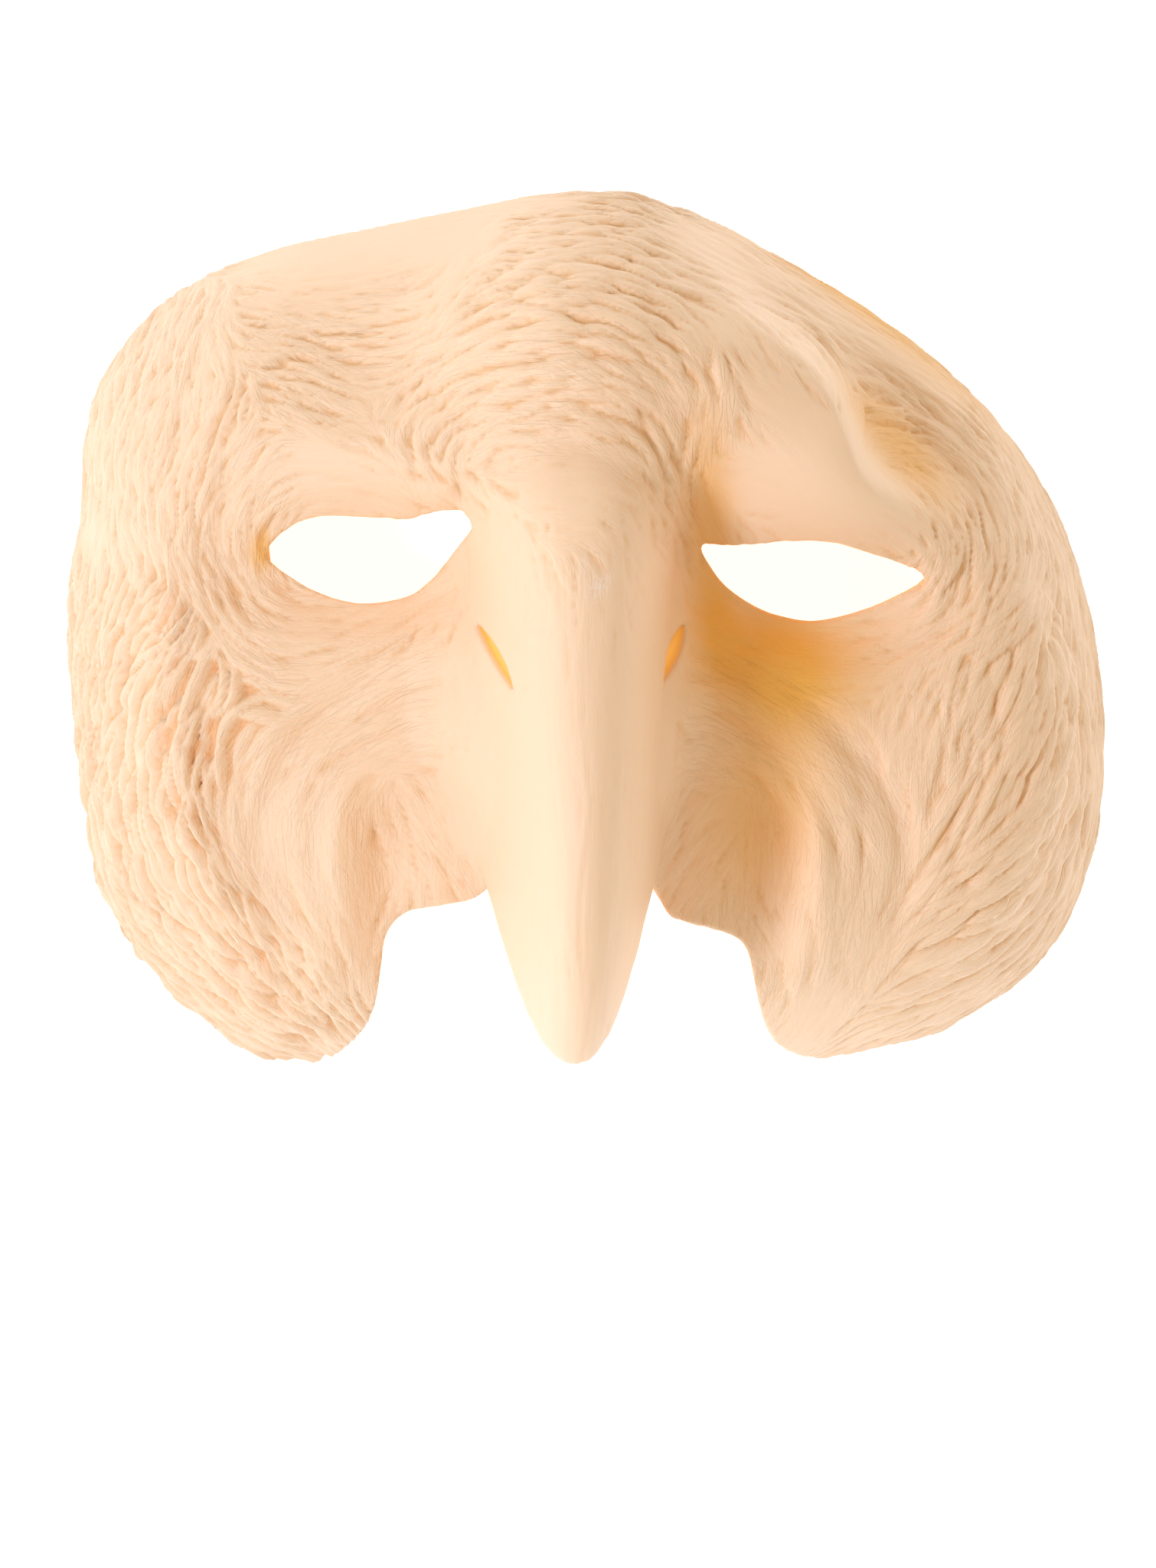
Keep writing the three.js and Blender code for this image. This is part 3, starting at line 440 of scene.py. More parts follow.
# A fold's height: height(share) * exp(-|off / width|^power - (past / foldEnd)^2), where the width goes
# over from its left to its right one within 1.5 of the line
def foldHeight(fold, x, y):
    off, share, past = beside(fold, x, y)
    side = smoothStep(-1.5, 1.5, off)
    width = side * spread(share, fold["left"]) + (1 - side) * spread(share, fold["right"])
    end = (past / form["foldEnd"])**2
    return spread(share, fold["height"]) * np.exp(-np.abs(off / width)**fold["power"] - end)


# A swelling: height * exp(-(a^2 + b^2)^(power / 2)), a and b measured in its half widths
def swelling(one, x, y):
    at, size, turn, height, power = one
    angle = math.radians(turn)
    dx = x - at[0]
    dy = y - at[1]
    a = (dx * math.cos(angle) + dy * math.sin(angle)) / size[0]
    b = (dy * math.cos(angle) - dx * math.sin(angle)) / size[1]
    return height * np.exp(-(a * a + b * b)**(power / 2))


# The face's height over the plain sheet: the sum of all folds and swellings and of the right
# plateau, which goes from 1 to 0 of its height outside the right brow's crest
def faceHeight(x, y):
    height = sum(foldHeight(fold, x, y) for fold in form["folds"].values())
    height = height + sum(swelling(one, x, y) for one in form["swellings"])
    outside = beside(form["folds"]["rightBrow"], x, y, blend=form["crestBlend"])[0]
    return height + swelling(form["rightPlateau"], x, y) * smoothStep(*form["crestFall"][::-1], outside)


# The plain sheet's height: rim + (centre - rim) * (1 - shoulder out^2 - (1 - shoulder) out^edgePower)
def plainHeight(plan, rimHeight):
    out = np.minimum(plan, 1)
    drop = form["shoulder"] * out**2 + (1 - form["shoulder"]) * out**form["edgePower"]
    return rimHeight + (form["centreHeight"] - rimHeight) * (1 - drop)


# The sheet: plan place and height, plainHeight + faceHeight * (1 - held), where held is how far the
# folds have died away. The beak is drawn out of it as a vector in y and z, by
# ((1 - share)(1 - (off / foot)^2)^2 + share (1 - (off / ridge)^2.6)^1.3) of the ridge's reach.
def sheetAt(u, v):
    x, y, plan, rimHeight = toPlan(u, v)
    held = smoothStep(*form["foldFade"], plan)
    held = held * (1 - form["foldKept"] * smoothStep(*form["raisedRim"], rimHeight))
    z = np.maximum(plainHeight(plan, rimHeight) + faceHeight(x, y) * (1 - held), 0)
    places, foot, ridge, share, ridgeY, ridgeZ = np.array(form["beak"], float).T
    rows = np.linspace(places[0], form["beakStart"][0], grid["beakRows"])
    ax, ay, axisPlan, axisRim = toPlan(np.full_like(rows, form["axis"]), rows)
    axisHeight = np.interp(v, rows, plainHeight(axisPlan, axisRim) + faceHeight(ax, ay))
    off = np.abs(u - form["axis"])
    side = np.where(u > form["axis"], form["footShare"]["right"], form["footShare"]["left"])
    part = through(v, places, share)
    flank = (1 - np.minimum(off / (through(v, places, foot) * side), 1)**2)**2
    crown = (1 - np.minimum(off / through(v, places, ridge), 1)**2.6)**1.3
    out = ((1 - part) * flank + part * crown) * smoothStep(form["beakStart"][0], form["beakStart"][1], v)
    out = np.where((v > places[0]) & (v < form["beakStart"][0]) & (off < form["beakReach"]), out, 0)
    y = y + (through(v, places, ridgeY) - v) * out
    z = z + (through(v, places, ridgeZ) - axisHeight) * out
    return np.stack([x, y, z], axis=-1)


# Fields are kept on an even grid over the sheet and read between its points
grid = {
    "left": -106.0, "low": -96.0, "wide": 214.0, "high": 188.0,
    "formStep": 0.7, "reliefStep": 0.35, "guideStep": 2.1,
    "margin": 6,                 # no lobe starts nearer to the grid's border
    "beakRows": 300,             # the height under the beak's axis is worked out at so many places
}


# The grid's points: left + step * column and low + step * row
def gridPlaces(step):
    us = grid["left"] + step * np.arange(int(grid["wide"] / step) + 1)
    vs = grid["low"] + step * np.arange(int(grid["high"] / step) + 1)
    return np.meshgrid(us, vs)


# Cubic (Catmull-Rom) reading of a field at places between the grid's points
def readField(field, step, u, v):
    a = np.clip((u - grid["left"]) / step, 1, field.shape[1] - 3)
    b = np.clip((v - grid["low"]) / step, 1, field.shape[0] - 3)
    i = a.astype(int)
    j = b.astype(int)
    s = a - i
    t = b - j

    def weights(x):
        return (-0.5 * x + x**2 - 0.5 * x**3, 1 - 2.5 * x**2 + 1.5 * x**3,
                0.5 * x + 2 * x**2 - 1.5 * x**3, -0.5 * x**2 + 0.5 * x**3)

    across = weights(s)
    along = weights(t)
    extra = (None,) * (field.ndim - 2)
    total = 0
    for q in range(4):
        row = sum(field[j + q - 1, i + p - 1] * across[p][(...,) + extra] for p in range(4))
        total = total + row * along[q][(...,) + extra]
    return total


# The same along straight lines between the points, which is quicker
def readFields(fields, step, u, v):
    a = (u - grid["left"]) / step
    b = (v - grid["low"]) / step
    return np.stack([readLinear(fields[..., k], a, b) for k in range(fields.shape[-1])], axis=-1)


# One field, at places given in grid cells: (1 - t)((1 - s) f00 + s f10) + t ((1 - s) f01 + s f11)
def readLinear(field, a, b):
    a = np.clip(a, 0, field.shape[1] - 1.001)
    b = np.clip(b, 0, field.shape[0] - 1.001)
    i = a.astype(np.int32)
    j = b.astype(np.int32)
    s = a - i
    t = b - j
    return ((field[j, i] * (1 - s) + field[j, i + 1] * s) * (1 - t)
            + (field[j + 1, i] * (1 - s) + field[j + 1, i + 1] * s) * t)


formField = sheetAt(*gridPlaces(grid["formStep"]))
alongV, alongU = np.gradient(formField, grid["formStep"], axis=(0, 1))
normalField = np.cross(alongU, alongV)
normalField /= np.maximum(np.linalg.norm(normalField, axis=-1, keepdims=True), 1e-9)
print("form worked out:", formField.shape)


# Wrinkles: guide lines on the sheet, each with its kind, the spacing of the wrinkles along it in mm
# and their depth in mm. Between the lines all of these change smoothly.
guides = [
    # forehead dome, from the top down to the beak's root
    ("scale", 2, 0.57, [(-11, 67), (-3, 67), (6, 65), (13, 62)]),
    ("scale", 2, 0.65, [(-15, 58), (-8, 59), (1, 59), (10, 56), (19, 53)]),
    ("scale", 2.2, 0.81, [(-20, 50), (-12, 53), (-3, 54), (7, 51), (14, 48), (18, 43), (18.5, 37),
                          (18, 33)]),
    ("scale", 2.4, 0.9, [(-24, 42), (-16, 47), (-6, 48), (5, 45), (11, 41), (14.5, 36), (15, 31)]),
    ("scale", 2.7, 0.98, [(-25, 21), (-29, 25), (-30, 31), (-27, 37), (-20, 41), (-10, 43), (0, 42),
                          (7, 38), (11.5, 33), (13.5, 27), (13, 21)]),
    ("scale", 2.4, 0.98, [(-22, 18.5), (-26, 22), (-27, 28), (-23, 35), (-15, 38), (-5, 38), (4, 35),
                          (8.5, 31), (11, 26), (11.5, 21)]),
    ("scale", 2, 0.81, [(-20, 18.5), (-23.5, 21.5), (-24, 27), (-20, 32), (-15, 34), (-6, 34), (2, 32),
                        (7, 27), (9, 23)]),
    ("scale", 1.7, 0.65, [(-19, 20), (-21, 23), (-20.5, 27), (-17, 30), (-12, 31), (-4, 31), (3, 28),
                          (7, 25)]),
    ("wrinkle", 1.3, 0.35, [(-18, 25), (-12, 28), (-5, 28), (2, 27), (5, 25)]),
    ("wrinkle", 1.4, 0.45, [(-33, 33), (-32, 28), (-28, 22), (-23, 18)]),
    ("wrinkle", 1.4, 0.45, [(9, 22), (11, 19), (12, 16)]),
    # left forehead and its hollow
    ("wrinkle", 1.2, 0.29, [(-59, 56), (-49, 53), (-39, 52), (-31, 52), (-25, 54), (-20, 58)]),
    ("wrinkle", 1.4, 0.55, [(-57, 50), (-49, 47), (-39, 44), (-31, 43), (-25, 45), (-21, 50)]),
    ("wrinkle", 1.6, 0.66, [(-53, 42), (-46, 41), (-39, 38), (-32, 37), (-27, 39), (-24, 42)]),
    ("wrinkle", 1.5, 0.66, [(-47, 36), (-41, 34), (-37, 31), (-32, 31), (-29, 33), (-26, 37)]),
    ("wrinkle", 1.4, 0.39, [(-63, 54), (-59, 46), (-53, 39), (-47, 33), (-40, 29)]),
    ("wrinkle", 1.1, 0.081, [(-59, 65), (-45, 65), (-33, 67), (-22, 70)]),
    ("wrinkle", 1.1, 0.071, [(-19, 67), (-22, 58), (-25, 50)]),
    ("wrinkle", 1.1, 0.1, [(-51, 73), (-38, 76), (-23, 77), (-8, 76)]),
    # left temple, lid and the bags beside and under the eye
    ("wrinkle", 1.9, 0.54, [(-63, 56), (-64, 48), (-65, 39), (-66, 31), (-69, 24)]),
    ("wrinkle", 1.9, 0.71, [(-54, 38), (-57, 32), (-59, 25), (-61, 19), (-60, 12), (-56, 5)]),
    ("wrinkle", 2.1, 0.71, [(-49, 28), (-54, 24), (-57, 18), (-57, 12), (-54, 5), (-48, 1)]),
    ("wrinkle", 1.7, 0.47, [(-48, 21), (-52, 17), (-53, 13), (-52, 7)]),
    ("wrinkle", 2.1, 0.62, [(-71, 38), (-75, 29), (-75, 21), (-72, 12)]),
    ("wrinkle", 1.7, 0.47, [(-82, 45), (-84, 33), (-86, 22)]),
    ("wrinkle", 1.9, 0.62, [(-64, 21), (-65, 12), (-61, 3), (-54, -5), (-46, -8), (-37, -6)]),
    ("wrinkle", 1.3, 0.094, [(-44, 27), (-37, 26), (-30, 24), (-24, 20)]),
    ("wrinkle", 1.3, 0.094, [(-43, 22), (-35, 22), (-28, 20)]),
    ("wrinkle", 1.4, 0.43, [(-51, -10), (-45, -11), (-37, -7), (-29, -4), (-24, 0)]),
    ("wrinkle", 1.4, 0.24, [(-48, 0), (-38, 0), (-29, 2), (-24, 5)]),
    # left cheek: locks of feathers
    ("lock", 2, 1.9, [(-69, 5), (-77, -4), (-82, -13), (-87, -26)]),
    ("lock", 2.1, 2, [(-63, 1), (-71, -8), (-76, -17), (-78, -30), (-77, -42)]),
    ("lock", 2.2, 2.1, [(-59, -4), (-64, -10), (-69, -20), (-69, -32), (-65, -41), (-61, -49)]),
    ("lock", 2.1, 1.9, [(-56, -10), (-60, -17), (-62, -26), (-60, -34), (-55, -43), (-50, -50)]),
    ("lock", 2.1, 1.9, [(-79, -37), (-74, -45), (-66, -52), (-56, -59), (-48, -66)]),
    ("lock", 2, 1.4, [(-89, -32), (-89, -45), (-81, -56), (-68, -64), (-57, -72)]),
    ("lock", 1.7, 1.2, [(-50, -46), (-46, -55), (-43, -64), (-41, -69)]),
    ("lock", 1.7, 1.2, [(-87, 1), (-90, -11), (-92, -22)]),
    # left inner cheek: ripples round the jowl
    ("ripple", 4.6, 0.55, [(-24, -4), (-32, -8), (-40, -14), (-47, -20), (-51, -27), (-51, -36),
                           (-49, -44)]),
    ("ripple", 4.6, 0.6, [(-23, -8), (-31, -13), (-38, -17), (-43, -22), (-46, -29), (-46, -36),
                          (-43, -44)]),
    ("ripple", 4.3, 0.6, [(-23, -13), (-29, -17), (-36, -20), (-40, -24), (-42, -31), (-42, -38),
                          (-40, -46)]),
    ("wrinkle", 2.5, 0.3, [(-27, -20), (-32, -21), (-37, -24), (-39, -32), (-38, -42), (-37, -53)]),
    ("wrinkle", 1.9, 0.5, [(-31, -23), (-32, -32), (-30, -38), (-32, -46), (-35, -57)]),
    ("wrinkle", 1.9, 0.45, [(-29, -24), (-25, -30), (-23, -35), (-21, -40)]),
    ("wrinkle", 1.3, 0.08, [(-21, -4), (-21, -13), (-20, -22), (-18, -34)]),
    # right brow, its crest and lid
    ("wrinkle", 1.4, 0.4, [(22, 48), (25, 45), (27, 40)]),
    ("wrinkle", 1.3, 0.15, [(17, 32), (16, 26), (15, 20), (17, 16)]),
    ("wrinkle", 1.7, 0.5, [(26, 53), (33, 51), (39, 46), (41, 40), (41, 34)]),
    ("wrinkle", 1.5, 0.05, [(22, 37), (27, 34), (33, 28), (35, 23)]),
    ("wrinkle", 1.5, 0.05, [(19, 23), (26, 21), (33, 19), (41, 17)]),
    ("wrinkle", 1.5, 0.12, [(41, 34), (40, 26), (44, 22), (49, 18)]),
    # right temple: a fan that sweeps round the outer corner of the eye
    ("wrinkle", 1.5, 0.1, [(17, 65), (26, 61), (38, 54), (51, 47), (64, 42)]),
    ("wrinkle", 1.5, 0.25, [(31, 56), (39, 52), (48, 47), (55, 42), (63, 36)]),
    ("wrinkle", 1.6, 0.45, [(44, 43), (53, 40), (62, 34), (71, 26)]),
    ("wrinkle", 1.6, 0.5, [(44, 34), (53, 34), (62, 30), (68, 23), (70, 14)]),
    ("wrinkle", 1.6, 0.5, [(44, 27), (52, 29), (59, 27), (64, 21), (65, 12)]),
    ("wrinkle", 1.6, 0.5, [(50, 24), (56, 20), (59, 14), (57, 6), (53, 1), (44, -2)]),
    ("wrinkle", 1.7, 0.5, [(54, 28), (63, 24), (65, 14), (61, 5), (54, -2), (44, -5)]),
    ("wrinkle", 1.7, 0.4, [(75, 26), (77, 18), (75, 9), (69, 2)]),
    ("wrinkle", 1.7, 0.35, [(87, 23), (90, 12), (91, 4)]),
    ("wrinkle", 1.5, 0.2, [(18, 4), (25, 0), (33, -3), (43, -2), (51, 1)]),
    ("wrinkle", 1.5, 0.15, [(18, -2), (26, -6), (36, -7), (46, -6)]),
    ("wrinkle", 1.2, 0.3, [(55, -6), (52, -12), (51, -19), (50, -27)]),
    ("wrinkle", 1.2, 0.2, [(49, -6), (47, -13), (45, -19)]),
    # right cheek: lobes of feathers
    ("lock", 2.4, 0.66, [(70, 5), (62, -2), (57, -6)]),
    ("lock", 2.7, 0.91, [(67, 0), (61, -6), (57, -13), (55, -22)]),
    ("lock", 2.9, 0.99, [(72, -4), (67, -12), (62, -20), (58, -27), (54, -34)]),
    ("lock", 2.9, 0.99, [(78, -3), (81, -13), (77, -23), (69, -32), (60, -39), (53, -44)]),
    ("lock", 2.9, 0.99, [(85, -10), (87, -22), (81, -33), (73, -42), (62, -47), (53, -52)]),
    ("lock", 2.9, 0.83, [(86, -38), (81, -47), (71, -54), (59, -60), (51, -63)]),
    ("lock", 2.4, 0.57, [(55, -34), (51, -42), (47, -50), (46, -59)]),
    ("wrinkle", 1.9, 0.45, [(92, -14), (96, -30), (97, -47), (92, -60), (82, -69)]),
    # right inner cheek: nested arcs round the jowl
    ("ripple", 4.3, 0.7, [(22, -6), (32, -12), (40, -19), (46, -27), (49, -36), (48, -45), (46, -54)]),
    ("ripple", 4.3, 0.85, [(18, -8), (26, -13), (33, -19), (39, -26), (43, -35), (43, -46), (43, -56)]),
    ("ripple", 4.1, 0.85, [(17, -13), (24, -17), (31, -23), (36, -31), (37, -40), (37, -50)]),
    ("ripple", 4.1, 0.8, [(17, -19), (23, -21), (29, -25), (33, -32), (33, -39), (33, -49)]),
    ("wrinkle", 1.9, 0.5, [(26, -25), (27, -33), (27, -42), (29, -50)]),
    ("wrinkle", 1.4, 0.3, [(13, -38), (17, -32), (22, -27)]),
    ("wrinkle", 1.5, 0.2, [(44, -51), (41, -59), (39, -68)]),
    # beak: nearly smooth, with faint lengthwise lines
    ("wrinkle", 0.9, 0.07, [(-10, 7), (-11, -5), (-9, -16), (-6, -24)]),
    ("wrinkle", 0.9, 0.1, [(-2, 8), (-2, -3), (-2, -14), (-2, -24)]),
    ("wrinkle", 0.9, 0.06, [(-16, 17), (-15, 8), (-15, -2), (-15, -14), (-14, -22)]),
    ("wrinkle", 0.9, 0.07, [(6, 17), (9, 7), (9, -7), (8, -19), (7, -22)]),
    ("wrinkle", 0.9, 0.05, [(-10, 22), (-4, 23), (2, 22)]),
]

wrinkles = {
    "seed": 11,
    "guideReach": 2.0,             # mm within which a guide line rules alone
    "guideSpan": 4, "guideParts": 12,    # points to a span of a line, and parts that spare memory
    # half the length of a lobe in mm, how much steeper its free side is, and how soft its border
    "kinds": {
        "scale": (6.5, 0.3, 0), "wrinkle": (8, 0.25, 0.03),
        "lock": (8.5, 0.4, 0), "ripple": (17, 0.2, 0.5),
    },
    "tries": 34000,
    "apart": 0.88,                 # least distance between lobes, in their half sizes
    "crown": (10.0, 75.0),         # the lobes' free edges point away from this place
    "halfWidth": 0.72,             # half a lobe's width as a share of the spacing
    "lengths": (0.7, 1.3), "widths": (0.8, 1.25),    # shares that a lobe's size varies between
    "stray": 0.13,                 # radians
    "unevenness": 0.25,            # how much one lobe stands higher than another
    "taper": 0.45,                 # how much narrower a lobe's ends are
    "tip": 0.25,                   # the square of a lobe's height where its round side goes straight
    "lowest": 0.48,                # where no lobe reaches, against 1 on a lobe's top
    "level": 0.88,                 # what lies higher stands out of the form, what lies lower is cut in
    "gain": 2.2,                   # mm of relief to a mm of a guide's depth, over a lobe's whole height
    "limits": (-1.5, 1),           # mm
    "patches": (0.2, 12.0),        # how unevenly deep they are, and over what length
    "patchLimits": (0.3, 2),
    "creaseShadeReach": 0.6,            # painted shade in creases, by how far they lie below the mean this far
    "creaseShadeDepth": 0.27,           # round them, up to this depth
    "fineFull": 0.5,               # depth of the lobes from which the fine wrinkles have their full depth
    # steps at a line: the line, the drops along it on its left, the share that its right rises, and
    # over what length they end
    "ledges": [
        # the shelf at the outer edge of the right cheek's feathers
        ([(76, 7), (82, 1), (84.5, -7), (83.5, -16), (81.5, -25), (77.5, -35), (72.5, -42), (66, -49)],
         [0, 0.9, 1.5, 1.5, 1.3, 1.5, 1, 0], 0.4, 5),
        # the line down the right side of the beak
        ([(9.5, 18.5), (12.5, 9), (14, 2.5), (14.2, -2.5), (14.5, -8)], [0, 0.25, 0.3, 0.25, 0], 0, 2.5),
    ],
    "ledgeBlend": 1.5, "ledgeEnd": 3,
    # the knot at the top of the left cheek's locks: middle, half sizes, turn, height and how boxy
    "dents": [((-71, 8.5), (2.2, 1.6), -40, -0.9, 2)],
}


# The guides' direction, spacing, depth, length, edge and softness, weighted by
# 1 / (distance^2 + reach^2)^2. The direction is kept as cos and sin of twice the angle.
def guideFields(u, v):
    samples = []
    for kind, spacing, depth, line in guides:
        points = curveThrough(line, wrinkles["guideSpan"])
        ways = np.gradient(points, axis=0)
        angle = np.arctan2(ways[:, 1], ways[:, 0])
        columns = [points[:, 0], points[:, 1], np.cos(2 * angle), np.sin(2 * angle)]
        columns += [np.full(len(points), value) for value in (spacing, depth, *wrinkles["kinds"][kind])]
        samples.append(np.stack(columns, axis=1))
    samples = np.concatenate(samples)
    flat = np.zeros((u.size, samples.shape[1] - 2))
    places = np.stack([u.ravel(), v.ravel()], axis=1)
    for part in np.array_split(np.arange(u.size), wrinkles["guideParts"]):
        away = (places[part, None, 0] - samples[:, 0])**2 + (places[part, None, 1] - samples[:, 1])**2
        weight = 1 / (away + wrinkles["guideReach"]**2)**2
        weight /= weight.sum(axis=1, keepdims=True)
        flat[part] = weight @ samples[:, 2:]
    return flat.reshape(u.shape + (-1,))


# Gaussian blur: each wave of the field, k to a mm, times exp(-2 (pi k sigma)^2)
def blur(field, sigma, step):
    down = np.fft.fftfreq(field.shape[0], step)[:, None]
    across = np.fft.rfftfreq(field.shape[1], step)[None, :]
    kept = np.exp(-2 * (math.pi * np.hypot(down, across) * sigma)**2)
    return np.fft.irfft2(np.fft.rfft2(field) * kept, s=field.shape)


# A ledge's height: drop(share) * exp(-|off| / reach - (past / ledgeEnd)^2), down on its left and by
# its rise up on its right, with smoothStep(-0.3, 0.5, off) between them
def ledgeHeights(u, v):
    total = np.zeros(u.shape)
    for line, drops, rise, reach in wrinkles["ledges"]:
        off, share, past = beside({"line": line}, u, v, blend=wrinkles["ledgeBlend"])
        side = rise - (1 + rise) * smoothStep(-0.3, 0.5, off)
        fade = np.exp(-np.abs(off) / reach - (past / wrinkles["ledgeEnd"])**2)
        total += spread(share, drops) * side * fade
    return total


# Lobes tried at random places, turned along the flow with their free edges away from the crown. One
# is kept where (along / length)^2 + (across / width)^2 is at least apart^2 to all that were kept.
def scatterLobes(flow, random):
    margin = grid["margin"]
    u = grid["left"] + margin + (grid["wide"] - 2 * margin) * random.random(wrinkles["tries"])
    v = grid["low"] + margin + (grid["high"] - 2 * margin) * random.random(wrinkles["tries"])
    fields = readFields(flow, grid["guideStep"], u, v)
    doubleCosine, doubleSine, spacing, _, length, edge, _ = np.moveaxis(fields, -1, 0)
    angle = 0.5 * np.arctan2(doubleSine, doubleCosine)
    angle += wrinkles["stray"] * random.standard_normal(len(u))
    length = length * random.uniform(*wrinkles["lengths"], len(u))
    width = wrinkles["halfWidth"] * spacing * random.uniform(*wrinkles["widths"], len(u))
    lift = wrinkles["unevenness"] * random.uniform(-1, 1, len(u))
    away = np.stack([u, v], axis=1) - wrinkles["crown"]
    flipped = -np.sin(angle) * away[:, 0] + np.cos(angle) * away[:, 1] < 0
    angle = np.where(flipped, angle + math.pi, angle)
    cosine = np.cos(angle)
    sine = np.sin(angle)
    kept = np.zeros(0, int)
    for k in range(len(u)):
        du = u[kept] - u[k]
        dv = v[kept] - v[k]
        along = (du * cosine[k] + dv * sine[k]) / length[k]
        across = (dv * cosine[k] - du * sine[k]) / width[k]
        if not (along**2 + across**2 < wrinkles["apart"]**2).any():
            kept = np.append(kept, k)
    return [values[kept] for values in (u, v, cosine, sine, length, width, lift, edge)]


# How much the flow turns to a mm along each lobe, from its angles at 0.6 of its length either way
def lobeBends(flow, u, v, cosine, sine, length):
    def angleAt(places):
        fields = readFields(flow, grid["guideStep"], u + cosine * places, v + sine * places)
        return 0.5 * np.arctan2(fields[:, 1], fields[:, 0])

    reach = 0.6 * length
    turn = angleAt(reach) - angleAt(-reach)
    return ((turn + math.pi / 2) % math.pi - math.pi / 2) / (2 * reach)


# The grid's rows or columns within a reach of a place
def gridSlice(place, reach, start, step):
    return slice(max(int((place - reach - start) / step), 0), int((place + reach - start) / step) + 1)


# Each lobe is the square root of 1 + lift - (along / length)^2 - (across / width)^2, bent with the
# flow, and falls straight on below the square root of tip. Its width shrinks by taper * (along /
# length)^2 towards its ends, and is 1 - edge of itself on the free side and 1 + edge on the other.
# Gives the highest and the second highest lobe at each point of the grid, and their number.
def lobeHeights(flow, random):
    step = grid["reliefStep"]
    gridU, gridV = gridPlaces(step)
    lobes = scatterLobes(flow, random)
    bends = lobeBends(flow, *lobes[:5])
    tip = wrinkles["tip"]
    best = np.full(gridU.shape, wrinkles["lowest"])
    second = best.copy()
    for u, v, cosine, sine, length, width, lift, edge, bend in zip(*lobes, bends):
        i = gridSlice(u, 1.5 * length, grid["left"], step)
        j = gridSlice(v, 1.5 * length, grid["low"], step)
        du = gridU[j, i] - u
        dv = gridV[j, i] - v
        along = du * cosine + dv * sine
        across = (dv * cosine - du * sine - bend * along**2 / 2) / width
        share = np.minimum((along / length)**2, 1.3)    # held, so that the width stays above 0
        narrower = np.maximum(1 - wrinkles["taper"] * share, 0.05)
        across /= np.where(across > 0, 1 - edge, 1 + edge) * narrower
        inside = 1 + lift - share - across**2
        height = np.where(inside > tip, np.sqrt(np.maximum(inside, tip)), inside + (math.sqrt(tip) - tip))
        second[j, i] = np.maximum(second[j, i], np.minimum(best[j, i], height))
        best[j, i] = np.maximum(best[j, i], height)
    return best, second, len(bends)


# The relief: gain * depth * (highest lobe - level), so that creases form where lobes meet, with a soft
# border, max(soft - highest + second, 0)^2 / (4 soft), that rounds the crease off. Gives the relief in
# mm, the mask for painted crease shade, which is 1 on a lobe and 0 in a crease, and for the fine wrinkles
# the flow's direction and their share of the full depth.
def makeRelief():
    step = grid["reliefStep"]
    gridU, gridV = gridPlaces(step)
    flow = guideFields(*gridPlaces(grid["guideStep"]))
    random = np.random.default_rng(wrinkles["seed"])
    best, second, count = lobeHeights(flow, random)
    fields = readFields(flow, grid["guideStep"], gridU, gridV)
    doubleCosine, doubleSine, _, depth, _, _, soft = np.moveaxis(fields, -1, 0)
    strength, length = wrinkles["patches"]
    patches = blur(random.standard_normal(depth.shape), length / 4, step)
    depth = depth * np.clip(1 + strength * patches / patches.std(), *wrinkles["patchLimits"])
    best += np.maximum(soft - (best - second), 0)**2 / (4 * soft + 1e-6)
    relief = wrinkles["gain"] * depth * (best - wrinkles["level"]) + ledgeHeights(gridU, gridV)
    relief += sum(swelling(dent, gridU, gridV) for dent in wrinkles["dents"])
    relief = np.clip(relief, *wrinkles["limits"])
    # painted shade in the creases: where the relief lies below its blurred mean
    hollow = (blur(relief, wrinkles["creaseShadeReach"], step) - relief) / wrinkles["creaseShadeDepth"]
    noCreaseShade = 1 - smoothStep(0, 1, hollow)
    print("relief made:", count, "lobes", relief.shape, float(relief.min()), float(relief.max()))
    long = np.maximum(np.hypot(doubleCosine, doubleSine), 1e-6)
    fineDepth = np.clip(depth / wrinkles["fineFull"], 0, 1)
    return relief, noCreaseShade, np.stack([doubleCosine / long, doubleSine / long, fineDepth], axis=-1)


reliefField, noCreaseShadeField, flowField = makeRelief()


outlines = {
    "rimPoints": 560, "mouthSpan": 8, "eyeSpan": 6, "nostrilPoints": 17,
    "below": (2, -110),            # the notch is closed this far outside the rim: sideways, and v
}
pointsAtOnce = 3000                # to spare memory


